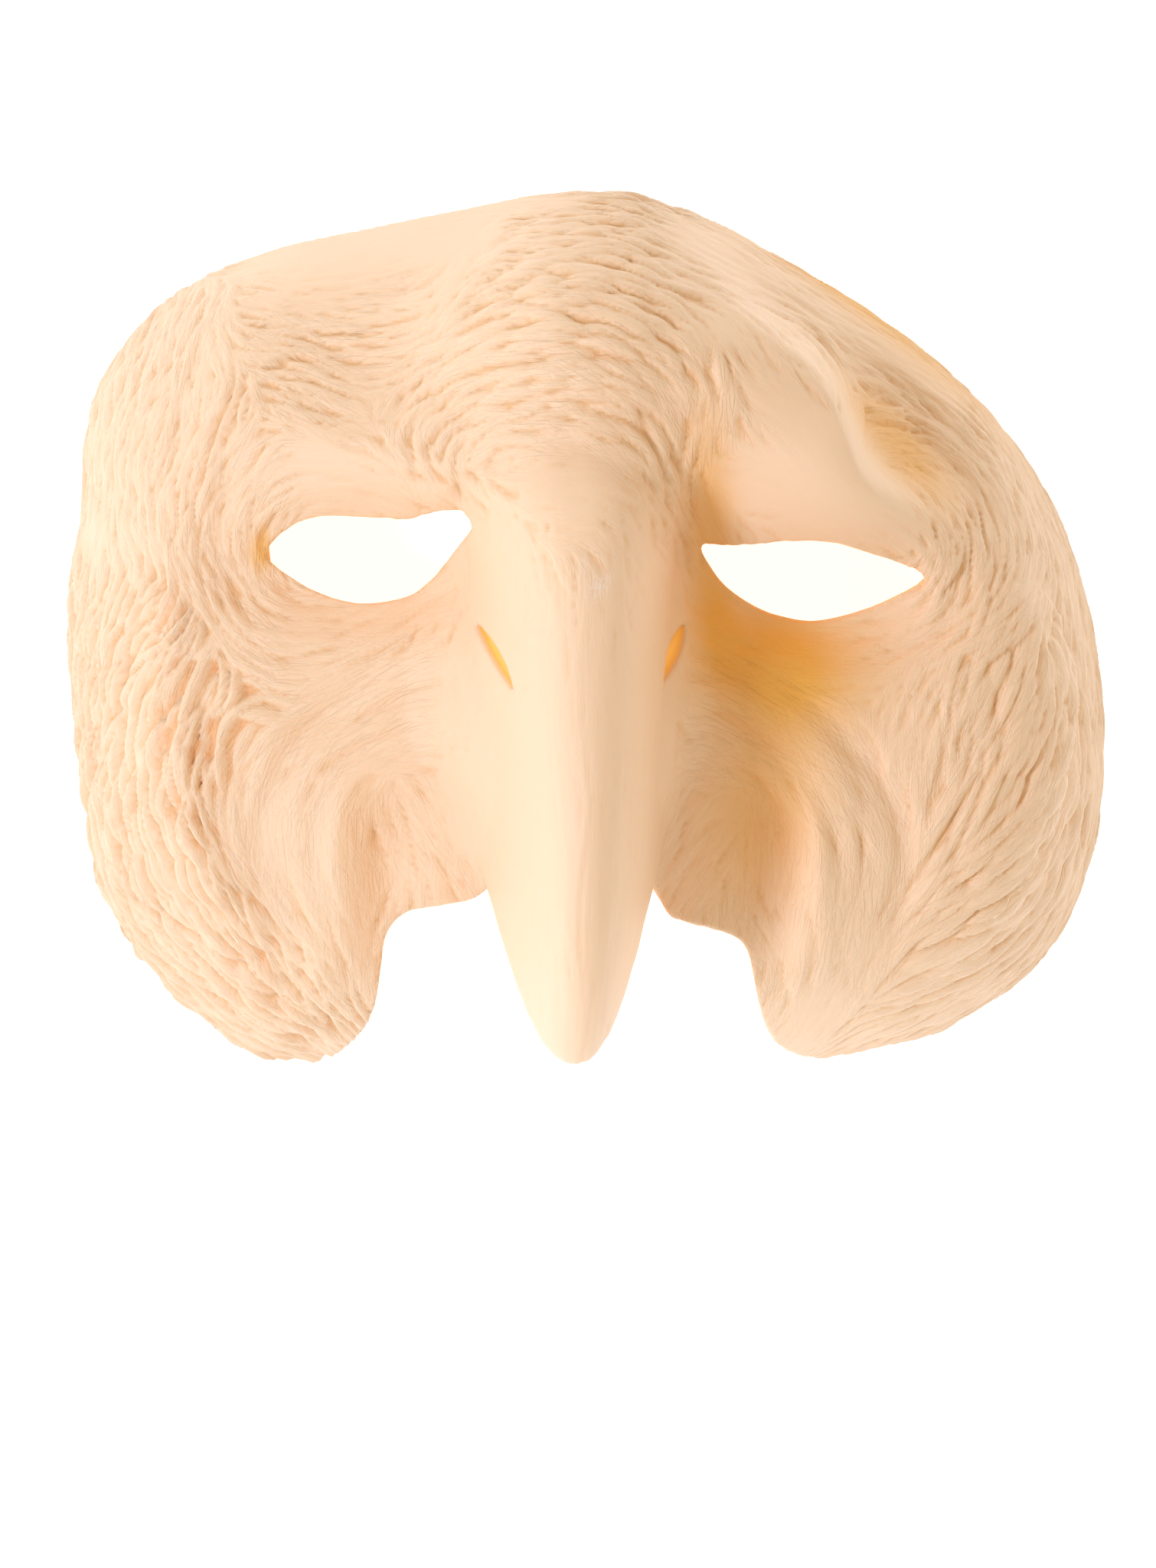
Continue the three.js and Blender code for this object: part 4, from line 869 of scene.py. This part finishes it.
# Openings: closed lines on the sheet, each with the latex on its left. The nostrils come last, and
# only the outer net is cut there. The first line is the mask's outline: the rim from the notch's
# right end round the face to its left end, and then the notch.
def closedLines():
    mouth = toSheet(curveThrough(form["mouth"], outlines["mouthSpan"]))
    middle = np.array(form["middle"], float)
    away = mouth - middle
    spare = form["stretch"] * rimAt(away[:, 0], away[:, 1])[0] - np.hypot(away[:, 0], away[:, 1])
    inside = np.nonzero(spare > 0)[0]
    first, last = inside[0], inside[-1]

    def crossing(a, b):
        t = spare[a] / (spare[a] - spare[b])
        return mouth[a] + t * (mouth[b] - mouth[a])

    start = crossing(first - 1, first)
    end = crossing(last, last + 1)
    fromAngle = math.atan2(*(end - middle)[::-1])
    toAngle = math.atan2(*(start - middle)[::-1]) + 2 * math.pi
    angles = np.linspace(fromAngle, toAngle, outlines["rimPoints"])
    radius = form["stretch"] * rimAt(np.cos(angles), np.sin(angles))[0]
    rim = middle + np.stack([np.cos(angles), np.sin(angles)], axis=1) * radius[:, None]
    outline = np.concatenate([rim, mouth[first:last + 1]])
    span = outlines["eyeSpan"]
    eyes = [toSheet(curveThrough(form[name], span, closed=True)) for name in ("leftEye", "rightEye")]
    slits = [nostrilLine(*ends) for ends in form["nostrils"]]
    holes = [clockwise(line) for line in eyes + slits]
    aside, below = outlines["below"]
    mouthHole = np.concatenate([mouth, [[mouth[-1, 0] + aside, below], [mouth[0, 0] - aside, below]]])
    return [outline] + holes, [mouthHole] + holes


# Turned round where twice its area, the sum of u1 v2 - u2 v1, is above 0
def clockwise(line):
    after = np.roll(line, -1, axis=0)
    area = (line[:, 0] * after[:, 1] - after[:, 0] * line[:, 1]).sum()
    return line[::-1] if area > 0 else line


# A nostril: two arcs between its ends, middle + half * t + across * bulge * (1 - t^2) and its mirror
# image, whose width is true on the beak's surface
def nostrilLine(first, second, width):
    middle = (np.array(first) + second) / 2
    half = (np.array(second) - first) / 2
    across = np.array([-half[1], half[0]]) / np.hypot(*half)
    ends = sheetAt(*np.stack([middle - across, middle + across], axis=1))
    bulge = width / np.linalg.norm(ends[1] - ends[0])
    t = np.linspace(-1, 1, outlines["nostrilPoints"])[:, None]
    one = middle + half * t + across * (1 - t**2) * bulge
    other = middle + half * t - across * (1 - t**2) * bulge
    return np.concatenate([one, other[-2:0:-1]])


# A nostril is blind: its edge goes in along the latex's own direction, and a fan closes it. Gives
# the new vertices, their normals' source points and the triangles.
def nostrilPit(edge, place, outer, normal, first):
    loop = edge[np.argsort(place)]
    low = outer[loop] - normal[loop] * form["nostrilDepth"]
    count = len(loop)
    this = first + np.arange(count)
    after = np.roll(this, -1)
    loopAfter = np.roll(loop, -1)
    centre = np.full(count, first + count)
    triangles = np.concatenate([
        np.stack([loopAfter, loop, this], axis=1),
        np.stack([loopAfter, this, after], axis=1),
        np.stack([after, this, centre], axis=1),
    ])
    return np.concatenate([low, low.mean(axis=0)[None]]), np.append(loop, loop[0]), triangles


# Inside a closed line where a level ray to the right crosses it an odd number of times. Only the
# places in the line's own box are tested.
def within(line, u, v):
    low = line.min(axis=0)
    high = line.max(axis=0)
    found = np.zeros(u.shape, bool)
    chosen = np.nonzero((u > low[0]) & (u < high[0]) & (v > low[1]) & (v < high[1]))[0]
    after = np.roll(line, -1, axis=0)
    for part in np.array_split(chosen, max(len(chosen) // pointsAtOnce, 1)):
        pu = u[part, None]
        pv = v[part, None]
        crosses = (line[:, 1] > pv) != (after[:, 1] > pv)
        rise = np.where(after[:, 1] == line[:, 1], 1, after[:, 1] - line[:, 1])
        at = line[:, 0] + (after[:, 0] - line[:, 0]) * (pv - line[:, 1]) / rise
        found[part] = (crosses & (pu < at)).sum(axis=1) % 2 == 1
    return found


# In the latex: nearer to the middle than the rim, and in none of the holes
def inLatex(u, v, holes):
    du = u - form["middle"][0]
    dv = v - form["middle"][1]
    inside = np.hypot(du, dv) < form["stretch"] * rimAt(du, dv)[0]
    for hole in holes:
        inside &= ~within(hole, u, v)
    return inside


# Nearest place on a closed line, by the foot of the perpendicular on each of its edges, held between
# the edge's ends: the distance, the place itself and how far along the line it is
def nearestOn(line, u, v):
    after = np.roll(line, -1, axis=0)
    edge = after - line
    long = np.hypot(edge[:, 0], edge[:, 1])
    run = np.concatenate([[0], np.cumsum(long)])[:-1]
    distance = np.full(u.shape, 1e9)
    at = np.zeros(u.shape + (2,))
    along = np.zeros(u.shape)
    for part in np.array_split(np.arange(len(u)), max(len(u) // pointsAtOnce, 1)):
        du = u[part, None] - line[:, 0]
        dv = v[part, None] - line[:, 1]
        t = np.clip((du * edge[:, 0] + dv * edge[:, 1]) / np.maximum(long**2, 1e-12), 0, 1)
        away = (du - t * edge[:, 0])**2 + (dv - t * edge[:, 1])**2
        best = away.argmin(axis=1)
        rows = np.arange(len(part))
        distance[part] = np.sqrt(away[rows, best])
        at[part] = line[best] + t[rows, best][:, None] * edge[best]
        along[part] = run[best] + t[rows, best] * long[best]
    return distance, at, along


net = {
    "outerStep": 0.58, "innerStep": 2.2,
    "corner": (-118, -102), "span": (240, 200),
    "snap": 0.34,                  # share of a step within which a point is moved onto an edge
    "halvings": 16,
    "lensAt": (-3, -24), "lensReach": 26, "lensStrength": 0.36,   # the net is finer on the beak
    "edgeDip": 0.25,               # mm by which the relief is lower at an edge
    "onRim": 0.9995,               # share of the way to the rim from which a point lies on it
}


# The net is drawn together round lensAt: its distance times 1 - strength * exp(-(distance / reach)^2)
def throughLens(u, v):
    du = u - net["lensAt"][0]
    dv = v - net["lensAt"][1]
    scale = 1 - net["lensStrength"] * np.exp(-(du**2 + dv**2) / net["lensReach"]**2)
    return net["lensAt"][0] + du * scale, net["lensAt"][1] + dv * scale


# The nearest of several closed lines: its distance, the place on it, how far along it that is and its
# number
def nearestOf(lines, u, v):
    best = np.full(u.shape, 1e9)
    at = np.zeros(u.shape + (2,))
    along = np.zeros(u.shape)
    number = np.zeros(u.shape, int)
    for k, line in enumerate(lines):
        distance, place, run = nearestOn(line, u, v)
        nearer = distance < best
        best[nearer] = distance[nearer]
        at[nearer] = place[nearer]
        along[nearer] = run[nearer]
        number[nearer] = k
    return best, at, along, number


# A net of even triangles over the sheet, its columns step apart and its rows step * sqrt(3) / 2, every
# second row half a step along. It is trimmed to the latex: points near an edge are moved onto it, and
# triangles that cross it are cut there. Returns points, triangles, and for the points on an edge the
# number of their closed line and their place along it.
def trimmedNet(step, lines, holes):
    high = step * math.sqrt(3) / 2
    rows = math.ceil(net["span"][1] / high)
    columns = math.ceil(net["span"][0] / step)
    j, i = np.mgrid[0:rows + 1, 0:columns + 1]
    u, v = throughLens(net["corner"][0] + (i + 0.5 * (j % 2)) * step, net["corner"][1] + j * high)
    gap = np.hypot(np.roll(u, -1, axis=1) - u, np.roll(v, -1, axis=1) - v)
    gap[:, -1] = step
    u, v, gap = u.ravel(), v.ravel(), gap.ravel()
    marks = np.where(inLatex(u, v, holes), 1, -1)
    a = (j * (columns + 1) + i)[:-1, :-1].ravel()
    odd = (j % 2)[:-1, :-1].ravel() == 1
    b, c, d = a + 1, a + columns + 1, a + columns + 2
    triangles = np.concatenate([
        np.stack([a, b, np.where(odd, d, c)], axis=1),
        np.stack([np.where(odd, a, b), d, c], axis=1),
    ])
    # points of triangles that an edge crosses, and their neighbours, are measured
    crossed = np.abs(marks[triangles].sum(axis=1)) < 3
    close = np.zeros(len(u), bool)
    close[triangles[crossed]] = True
    touching = close[triangles].any(axis=1)
    close[triangles[touching]] = True
    close = np.nonzero(close)[0]
    distance, at, _, _ = nearestOf(lines, u[close], v[close])
    snapped = distance < net["snap"] * gap[close]
    marks[close[snapped]] = 0
    u[close[snapped]] = at[snapped, 0]
    v[close[snapped]] = at[snapped, 1]
    points, marks, triangles = cutTriangles(np.stack([u, v], axis=1), marks, triangles, holes)
    used, triangles = np.unique(triangles, return_inverse=True)
    points = points[used]
    edge = np.nonzero(marks[used] == 0)[0]
    _, _, along, number = nearestOf(lines, points[edge, 0], points[edge, 1])
    return points, triangles.reshape(-1, 3), edge, number, along


# The triangles in the latex, and the inner parts of those that an edge crosses. A point's mark is 1 in
# the latex, 0 on an edge and -1 outside. A side is cut where it crosses the edge, found by halving it.
def cutTriangles(points, marks, triangles, holes):
    corner = marks[triangles]
    inner = (corner > 0).sum(axis=1)
    outer = (corner < 0).sum(axis=1)
    kept = [triangles[(inner > 0) & (outer == 0)]]
    flat = triangles[(inner == 0) & (outer == 0)]
    if len(flat):
        centre = points[flat].mean(axis=1)
        kept.append(flat[inLatex(centre[:, 0], centre[:, 1], holes)])
    mixed = triangles[(inner > 0) & (outer > 0)]
    corner = marks[mixed]
    # turned so that the first corner is the one that is alone on its side
    oneOut = (corner < 0).sum(axis=1) == 1
    first = np.where(oneOut, (corner < 0).argmax(axis=1), (corner > 0).argmax(axis=1))
    turned = mixed[np.arange(len(mixed))[:, None], (first[:, None] + np.arange(3)) % 3]

    pairs = np.concatenate([turned[:, [0, 1]], turned[:, [0, 2]]])
    pairs = pairs[marks[pairs[:, 0]] * marks[pairs[:, 1]] < 0]
    pairs = np.unique(np.sort(pairs, axis=1), axis=0)
    firstIn = marks[pairs[:, 0]] > 0
    insideEnd = points[np.where(firstIn, pairs[:, 0], pairs[:, 1])]
    outsideEnd = points[np.where(firstIn, pairs[:, 1], pairs[:, 0])]
    for _ in range(net["halvings"]):
        half = (insideEnd + outsideEnd) / 2
        halfIn = inLatex(half[:, 0], half[:, 1], holes)[:, None]
        insideEnd = np.where(halfIn, half, insideEnd)
        outsideEnd = np.where(halfIn, outsideEnd, half)
    count = len(points)
    keys = pairs[:, 0].astype(np.int64) * count + pairs[:, 1]

    def cut(p, q):
        key = np.minimum(p, q).astype(np.int64) * count + np.maximum(p, q)
        return count + np.searchsorted(keys, key)

    p, q, r = turned.T
    qOn = oneOut & (marks[q] == 0)
    rOn = oneOut & (marks[r] == 0)
    bothIn = oneOut & ~qOn & ~rOn
    kept.append(np.stack([p, cut(p, q), cut(p, r)], axis=1)[~oneOut])
    kept.append(np.stack([q, r, cut(p, r)], axis=1)[qOn | bothIn])
    kept.append(np.stack([q, r, cut(p, q)], axis=1)[rOn])
    kept.append(np.stack([q, cut(p, r), cut(p, q)], axis=1)[bothIn])
    marks = np.concatenate([marks, np.zeros(len(insideEnd), int)])
    return np.concatenate([points, insideEnd]), marks, np.concatenate(kept)


# The strip between two loops on one closed line: each loop's points are sorted by their place, and
# each step along one loop makes a triangle with the point that the other loop has reached
def stripBetween(outerLoop, outerPlace, innerLoop, innerPlace):
    outerLoop = outerLoop[np.argsort(outerPlace)]
    innerLoop = innerLoop[np.argsort(innerPlace)]
    outerPlace = np.sort(outerPlace)
    innerPlace = np.sort(innerPlace)
    outerNext = np.roll(outerLoop, -1)
    innerNext = np.roll(innerLoop, -1)
    toInner = np.searchsorted(innerPlace, np.roll(outerPlace, -1), side="right") - 1
    toOuter = np.searchsorted(outerPlace, np.roll(innerPlace, -1), side="left") - 1
    return np.concatenate([
        np.stack([outerNext, outerLoop, innerLoop[toInner % len(innerLoop)]], axis=1),
        np.stack([innerLoop, innerNext, outerLoop[toOuter % len(outerLoop)]], axis=1),
    ])


# The form and its direction, read at points of a net
def formAt(points):
    step = grid["formStep"]
    places = readField(formField, step, points[:, 0], points[:, 1])
    normals = readField(normalField, step, points[:, 0], points[:, 1])
    return places, normals / np.linalg.norm(normals, axis=1, keepdims=True)


# A value or a vector for each vertex, kept as an attribute that the material reads
def addValues(mesh, name, values):
    kind, field = ("FLOAT", "value") if values.ndim == 1 else ("FLOAT_VECTOR", "vector")
    attribute = mesh.attributes.new(name, kind, "POINT")
    attribute.data.foreach_set(field, values.astype(np.float32).ravel())


# Spots on the sheet: the sum of swellings of the given boxiness, held between 0 and 1
def spotted(spots, boxy, places):
    return np.clip(sum(swelling((*spot, boxy), *places.T) for spot in spots), 0, 1)


# A smooth mesh of triangles, its vertices times mm
def meshOf(name, vertices, triangles):
    mesh = bpy.data.meshes.new(name)
    mesh.vertices.add(len(vertices))
    mesh.vertices.foreach_set("co", (vertices * mm).ravel())
    mesh.loops.add(triangles.size)
    mesh.loops.foreach_set("vertex_index", triangles.ravel().astype(np.int32))
    mesh.polygons.add(len(triangles))
    mesh.polygons.foreach_set("loop_start", np.arange(0, triangles.size, 3, dtype=np.int32))
    mesh.polygons.foreach_set("use_smooth", np.ones(len(triangles), bool))
    mesh.update(calc_edges=True)
    mesh.validate()
    return mesh


# The mask: the outer side is the form with the relief added along its own direction, the inner side
# is the form less the wall along that direction, and strips close the rim and the openings
def makeMask():
    lines, holes = closedLines()
    openings = len(lines) - len(form["nostrils"])
    cuts = holes[:len(holes) - len(form["nostrils"])]
    outerPoints, outerTriangles, *outerEdges = trimmedNet(net["outerStep"], lines, holes)
    innerPoints, innerTriangles, *innerEdges = trimmedNet(net["innerStep"], lines[:openings], cuts)
    outerEdge, outerLine, outerPlace = outerEdges
    innerEdge, innerLine, innerPlace = innerEdges
    outer, outerNormal = formAt(outerPoints)
    inner, innerNormal = formAt(innerPoints)
    height = readField(reliefField, grid["reliefStep"], outerPoints[:, 0], outerPoints[:, 1])
    height[outerEdge] -= net["edgeDip"]
    outer = outer + outerNormal * height[:, None]
    outer[:, 2] = np.maximum(outer[:, 2], 0)
    innerTop = inner[:, 2].copy()
    inner = inner - innerNormal * form["wall"]
    onRim = np.zeros(len(inner), bool)
    onRim[innerEdge] = True
    du, dv = (innerPoints - form["middle"]).T
    onRim &= np.hypot(du, dv) > net["onRim"] * form["stretch"] * rimAt(du, dv)[0]
    inner[:, 2] = np.maximum(np.where(onRim, innerTop, inner[:, 2]), 0)
    strips = [
        stripBetween(outerEdge[outerLine == k], outerPlace[outerLine == k],
                     innerEdge[innerLine == k] + len(outer), innerPlace[innerLine == k])
        for k in range(openings)
    ]
    pits = []
    pitSource = []
    total = len(outer) + len(inner)
    for k in range(openings, len(lines)):
        places, source, triangles = nostrilPit(outerEdge[outerLine == k], outerPlace[outerLine == k],
                                               outer, outerNormal, total)
        pits.append(places)
        pitSource.append(source)
        strips.append(triangles)
        total += len(places)
    pitCount = total - len(outer) - len(inner)
    vertices = np.concatenate([outer, inner] + pits)
    vertices[:, :2] -= form["centreInPlan"]
    triangles = np.concatenate([outerTriangles, innerTriangles[:, ::-1] + len(outer)] + strips)
    mesh = meshOf("latexMask", vertices, triangles)
    # the mask of painted crease shade on the outer side, and a fixed share of it on the wearer's side
    noCreaseShade = readField(noCreaseShadeField, grid["reliefStep"], outerPoints[:, 0], outerPoints[:, 1])
    noCreaseShadeInside = np.full(total - len(outer), latex["noCreaseShadeInside"])
    addValues(mesh, "noCreaseShade", np.concatenate([noCreaseShade, noCreaseShadeInside]))
    addValues(mesh, "pit", np.repeat([0.0, 1.0], [total - pitCount, pitCount]))
    addValues(mesh, "inner", np.repeat([0.0, 1.0], [len(outer), total - len(outer)]))
    flow = readField(flowField, grid["reliefStep"], outerPoints[:, 0], outerPoints[:, 1])
    addValues(mesh, "flow", np.concatenate([flow, np.tile((1.0, 0.0, 0.0), (total - len(outer), 1))]))
    places = np.concatenate([outerPoints, innerPoints] + [outerPoints[source] for source in pitSource])
    # painted shade: amber spots on the shaded right side and in the beak's shadow
    addValues(mesh, "amberShade", spotted(latex["amberShadePlaces"], 2.5, places))
    addValues(mesh, "scuff", spotted(latex["scuffs"], 2, places))
    addValues(mesh, "sheet", np.pad(places, ((0, 0), (0, 1))))
    mask = bpy.data.objects.new("latexMask", mesh)
    bpy.context.scene.collection.objects.link(mask)
    edges = np.concatenate([triangles[:, [0, 1]], triangles[:, [1, 2]], triangles[:, [2, 0]]])
    counts = np.unique(np.sort(edges, axis=1), axis=0, return_counts=True)[1]
    print("mask:", len(vertices), "vertices", len(triangles), "triangles, open edges",
          int((counts != 2).sum()))
    return mask


fine = {
    "directions": 6,
    "length": 5.0, "width": 0.8,   # mm
    "apart": 37.0,                 # mm between the noises of two directions
    "detail": 1.5, "distortion": 0.4,
    "sharpness": 0.6,
    "depth": 0.09,                 # mm
}

latex = {
    "colour": (0.95, 0.69, 0.47),
    "crease": (0.85, 0.53, 0.27), "fineCreaseShade": 0.15,    # painted shade in creases, and how strongly it is painted along the fine wrinkles
    "inside": (0.95, 0.50, 0.10), "noCreaseShadeInside": 0.8,     # the wearer's side, painted deeper orange for its shade and the light scattered through the latex, and its crease shade share
    "roughness": 0.55,
    "subsurface": 0.12, "subsurfaceReach": 0.0012, "subsurfaceRadius": (1.0, 0.5, 0.25),
    # painted shade: amber where the right side lies in shade and in the beak's cast shadow. Middle and
    # half sizes on the sheet, turn in degrees and strength
    "amberShade": (0.88, 0.45, 0.08),
    "amberShadePlaces": [
        ((28, -5), (14, 10), -15, 1.0),         # under the right eye
        ((26, -26), (9, 16), -10, 0.6),         # right inner cheek
        ((53, 63), (30, 8), -44, 0.75),         # edge above the right temple
        ((50, 29), (12, 6), -50, 0.75),         # foot of the right brow
        ((17.5, 12), (3.8, 18), 4, 0.7),        # beside the beak, at the right eye's inner corner
        ((-50.6, 11.6), (1.9, 3.2), 0, 0.8),    # outer corner of the left eye
    ],
    # pale scuffs on the beak's ridge: middle, half sizes, turn and strength, and noise that breaks
    # them up, so many grains to a mm, as grain * contrast + shift
    "scuff": (0.97, 0.84, 0.74),
    "scuffs": [((-1, 11.5), (1.6, 1.1), 30, 0.9), ((-3, 14), (1.6, 0.8), 60, 0.35)],
    "scuffGrain": 2.5, "grainContrast": 4.0, "grainShift": -1.4,
    # painted glow: the nostrils give off light of their own, for the light that comes through the thin
    # latex
    "pitColour": (0.85, 0.36, 0.04), "pitGlow": 0.25,
}


# Puts a value or another node's output into a socket
def feed(tree, socket, value):
    if isinstance(value, bpy.types.NodeSocket):
        tree.links.new(value, socket)
    else:
        socket.default_value = value


def arithmetic(tree, operation, *values, clamped=False):
    node = tree.nodes.new("ShaderNodeMath")
    node.operation = operation
    node.use_clamp = clamped
    for socket, value in zip(node.inputs, values):
        feed(tree, socket, value)
    return node.outputs[0]


def attributeOf(tree, name, output):
    node = tree.nodes.new("ShaderNodeAttribute")
    node.attribute_name = name
    return node.outputs[output]


# first * (1 - factor) + second * factor
def mixed(tree, factor, first, second):
    node = tree.nodes.new("ShaderNodeMix")
    node.data_type = "RGBA"
    for name, value in (("Factor", factor), ("A", first), ("B", second)):
        feed(tree, node.inputs[name], (*value, 1) if isinstance(value, tuple) else value)
    return node.outputs["Result"]


# Fine wrinkles: noise drawn out in six directions over the sheet, each weighted by how closely it lies
# along the flow, cos(2 (flow - direction)) squared where positive. A crease lies where the noise passes
# its middle: |4 noise - 2|, at most 1, to the power of sharpness. Puts out a height and how deep the
# creases are, which is painted into the colour as shade.
def fineWrinkles():
    group = bpy.data.node_groups.new("fineWrinkles", "ShaderNodeTree")
    group.interface.new_socket("Height", in_out="OUTPUT", socket_type="NodeSocketFloat")
    group.interface.new_socket("CreaseShade", in_out="OUTPUT", socket_type="NodeSocketFloat")
    sheet = attributeOf(group, "sheet", "Vector")
    parts = group.nodes.new("ShaderNodeSeparateXYZ")
    group.links.new(attributeOf(group, "flow", "Vector"), parts.inputs[0])
    doubleCosine, doubleSine, depth = parts.outputs
    total = None
    for k in range(fine["directions"]):
        angle = math.pi * k / fine["directions"]
        turned = group.nodes.new("ShaderNodeMapping")
        turned.vector_type = "TEXTURE"
        turned.inputs["Rotation"].default_value = (0, 0, angle)
        turned.inputs["Scale"].default_value = (fine["length"], fine["width"], 1)
        turned.inputs["Location"].default_value = (fine["apart"] * k, 0, 0)
        group.links.new(sheet, turned.inputs["Vector"])
        noise = group.nodes.new("ShaderNodeTexNoise")
        noise.noise_dimensions = "2D"
        noise.inputs["Scale"].default_value = 1
        noise.inputs["Detail"].default_value = fine["detail"]
        noise.inputs["Distortion"].default_value = fine["distortion"]
        group.links.new(turned.outputs["Vector"], noise.inputs["Vector"])
        crease = arithmetic(group, "MULTIPLY_ADD", noise.outputs["Fac"], 4.0, -2.0)
        crease = arithmetic(group, "MINIMUM", arithmetic(group, "ABSOLUTE", crease), 1.0)
        crease = arithmetic(group, "POWER", crease, fine["sharpness"])
        along = arithmetic(group, "ADD", arithmetic(group, "MULTIPLY", doubleCosine, math.cos(2 * angle)),
                           arithmetic(group, "MULTIPLY", doubleSine, math.sin(2 * angle)))
        weight = arithmetic(group, "POWER", arithmetic(group, "MAXIMUM", along, 0.0), 2.0)
        part = arithmetic(group, "MULTIPLY", weight, crease)
        total = part if total is None else arithmetic(group, "ADD", total, part)
    height = arithmetic(group, "MULTIPLY", total, depth)
    out = group.nodes.new("NodeGroupOutput")
    group.links.new(height, out.inputs["Height"])
    group.links.new(arithmetic(group, "SUBTRACT", depth, height), out.inputs["CreaseShade"])
    return group


def latexMaterial():
    material = bpy.data.materials.new("latex")
    material.use_nodes = True
    tree = material.node_tree
    shader = tree.nodes["Principled BSDF"]
    shader.inputs["Roughness"].default_value = latex["roughness"]
    shader.inputs["Subsurface Weight"].default_value = latex["subsurface"]
    shader.inputs["Subsurface Radius"].default_value = latex["subsurfaceRadius"]
    shader.inputs["Subsurface Scale"].default_value = latex["subsurfaceReach"]
    # cream, with painted shade in the creases: warmer and darker where the crease shade mask is low, held
    # between 0 and 1 before the painted shade of the fine creases is added
    lines = tree.nodes.new("ShaderNodeGroup")
    lines.node_tree = fineWrinkles()
    noCreaseShade = arithmetic(tree, "ADD", attributeOf(tree, "noCreaseShade", "Fac"), 0.0, clamped=True)
    noCreaseShade = arithmetic(tree, "MULTIPLY_ADD", lines.outputs["CreaseShade"], -latex["fineCreaseShade"], noCreaseShade,
                      clamped=True)
    colour = mixed(tree, noCreaseShade, latex["crease"], latex["colour"])
    # painted shade: amber spots on the shaded right side and in the beak's shadow
    colour = mixed(tree, attributeOf(tree, "amberShade", "Fac"), colour, latex["amberShade"])
    # scuffs, broken up by the grain
    grain = tree.nodes.new("ShaderNodeTexNoise")
    grain.noise_dimensions = "2D"
    grain.inputs["Scale"].default_value = latex["scuffGrain"]
    tree.links.new(attributeOf(tree, "sheet", "Vector"), grain.inputs["Vector"])
    grainy = arithmetic(tree, "MULTIPLY_ADD", grain.outputs["Fac"], latex["grainContrast"],
                        latex["grainShift"], clamped=True)
    scuffed = arithmetic(tree, "MULTIPLY", attributeOf(tree, "scuff", "Fac"), grainy)
    colour = mixed(tree, scuffed, colour, latex["scuff"])
    # the wearer's side, painted deeper orange for its shade and the light scattered through the latex
    colour = mixed(tree, attributeOf(tree, "inner", "Fac"), colour, latex["inside"])
    tree.links.new(colour, shader.inputs["Base Color"])
    # painted glow in the nostrils: emission standing in for light through the thin latex
    glow = mixed(tree, attributeOf(tree, "pit", "Fac"), (0.0, 0.0, 0.0), latex["pitColour"])
    tree.links.new(glow, shader.inputs["Emission Color"])
    shader.inputs["Emission Strength"].default_value = latex["pitGlow"]
    bump = tree.nodes.new("ShaderNodeBump")
    bump.inputs["Strength"].default_value = 1
    bump.inputs["Distance"].default_value = fine["depth"] * mm
    tree.links.new(lines.outputs["Height"], bump.inputs["Height"])
    tree.links.new(bump.outputs["Normal"], shader.inputs["Normal"])
    return material


mask = makeMask()
mask.data.materials.append(latexMaterial())
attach(mask, "root")
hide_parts("latex_mask")
print("mask made")
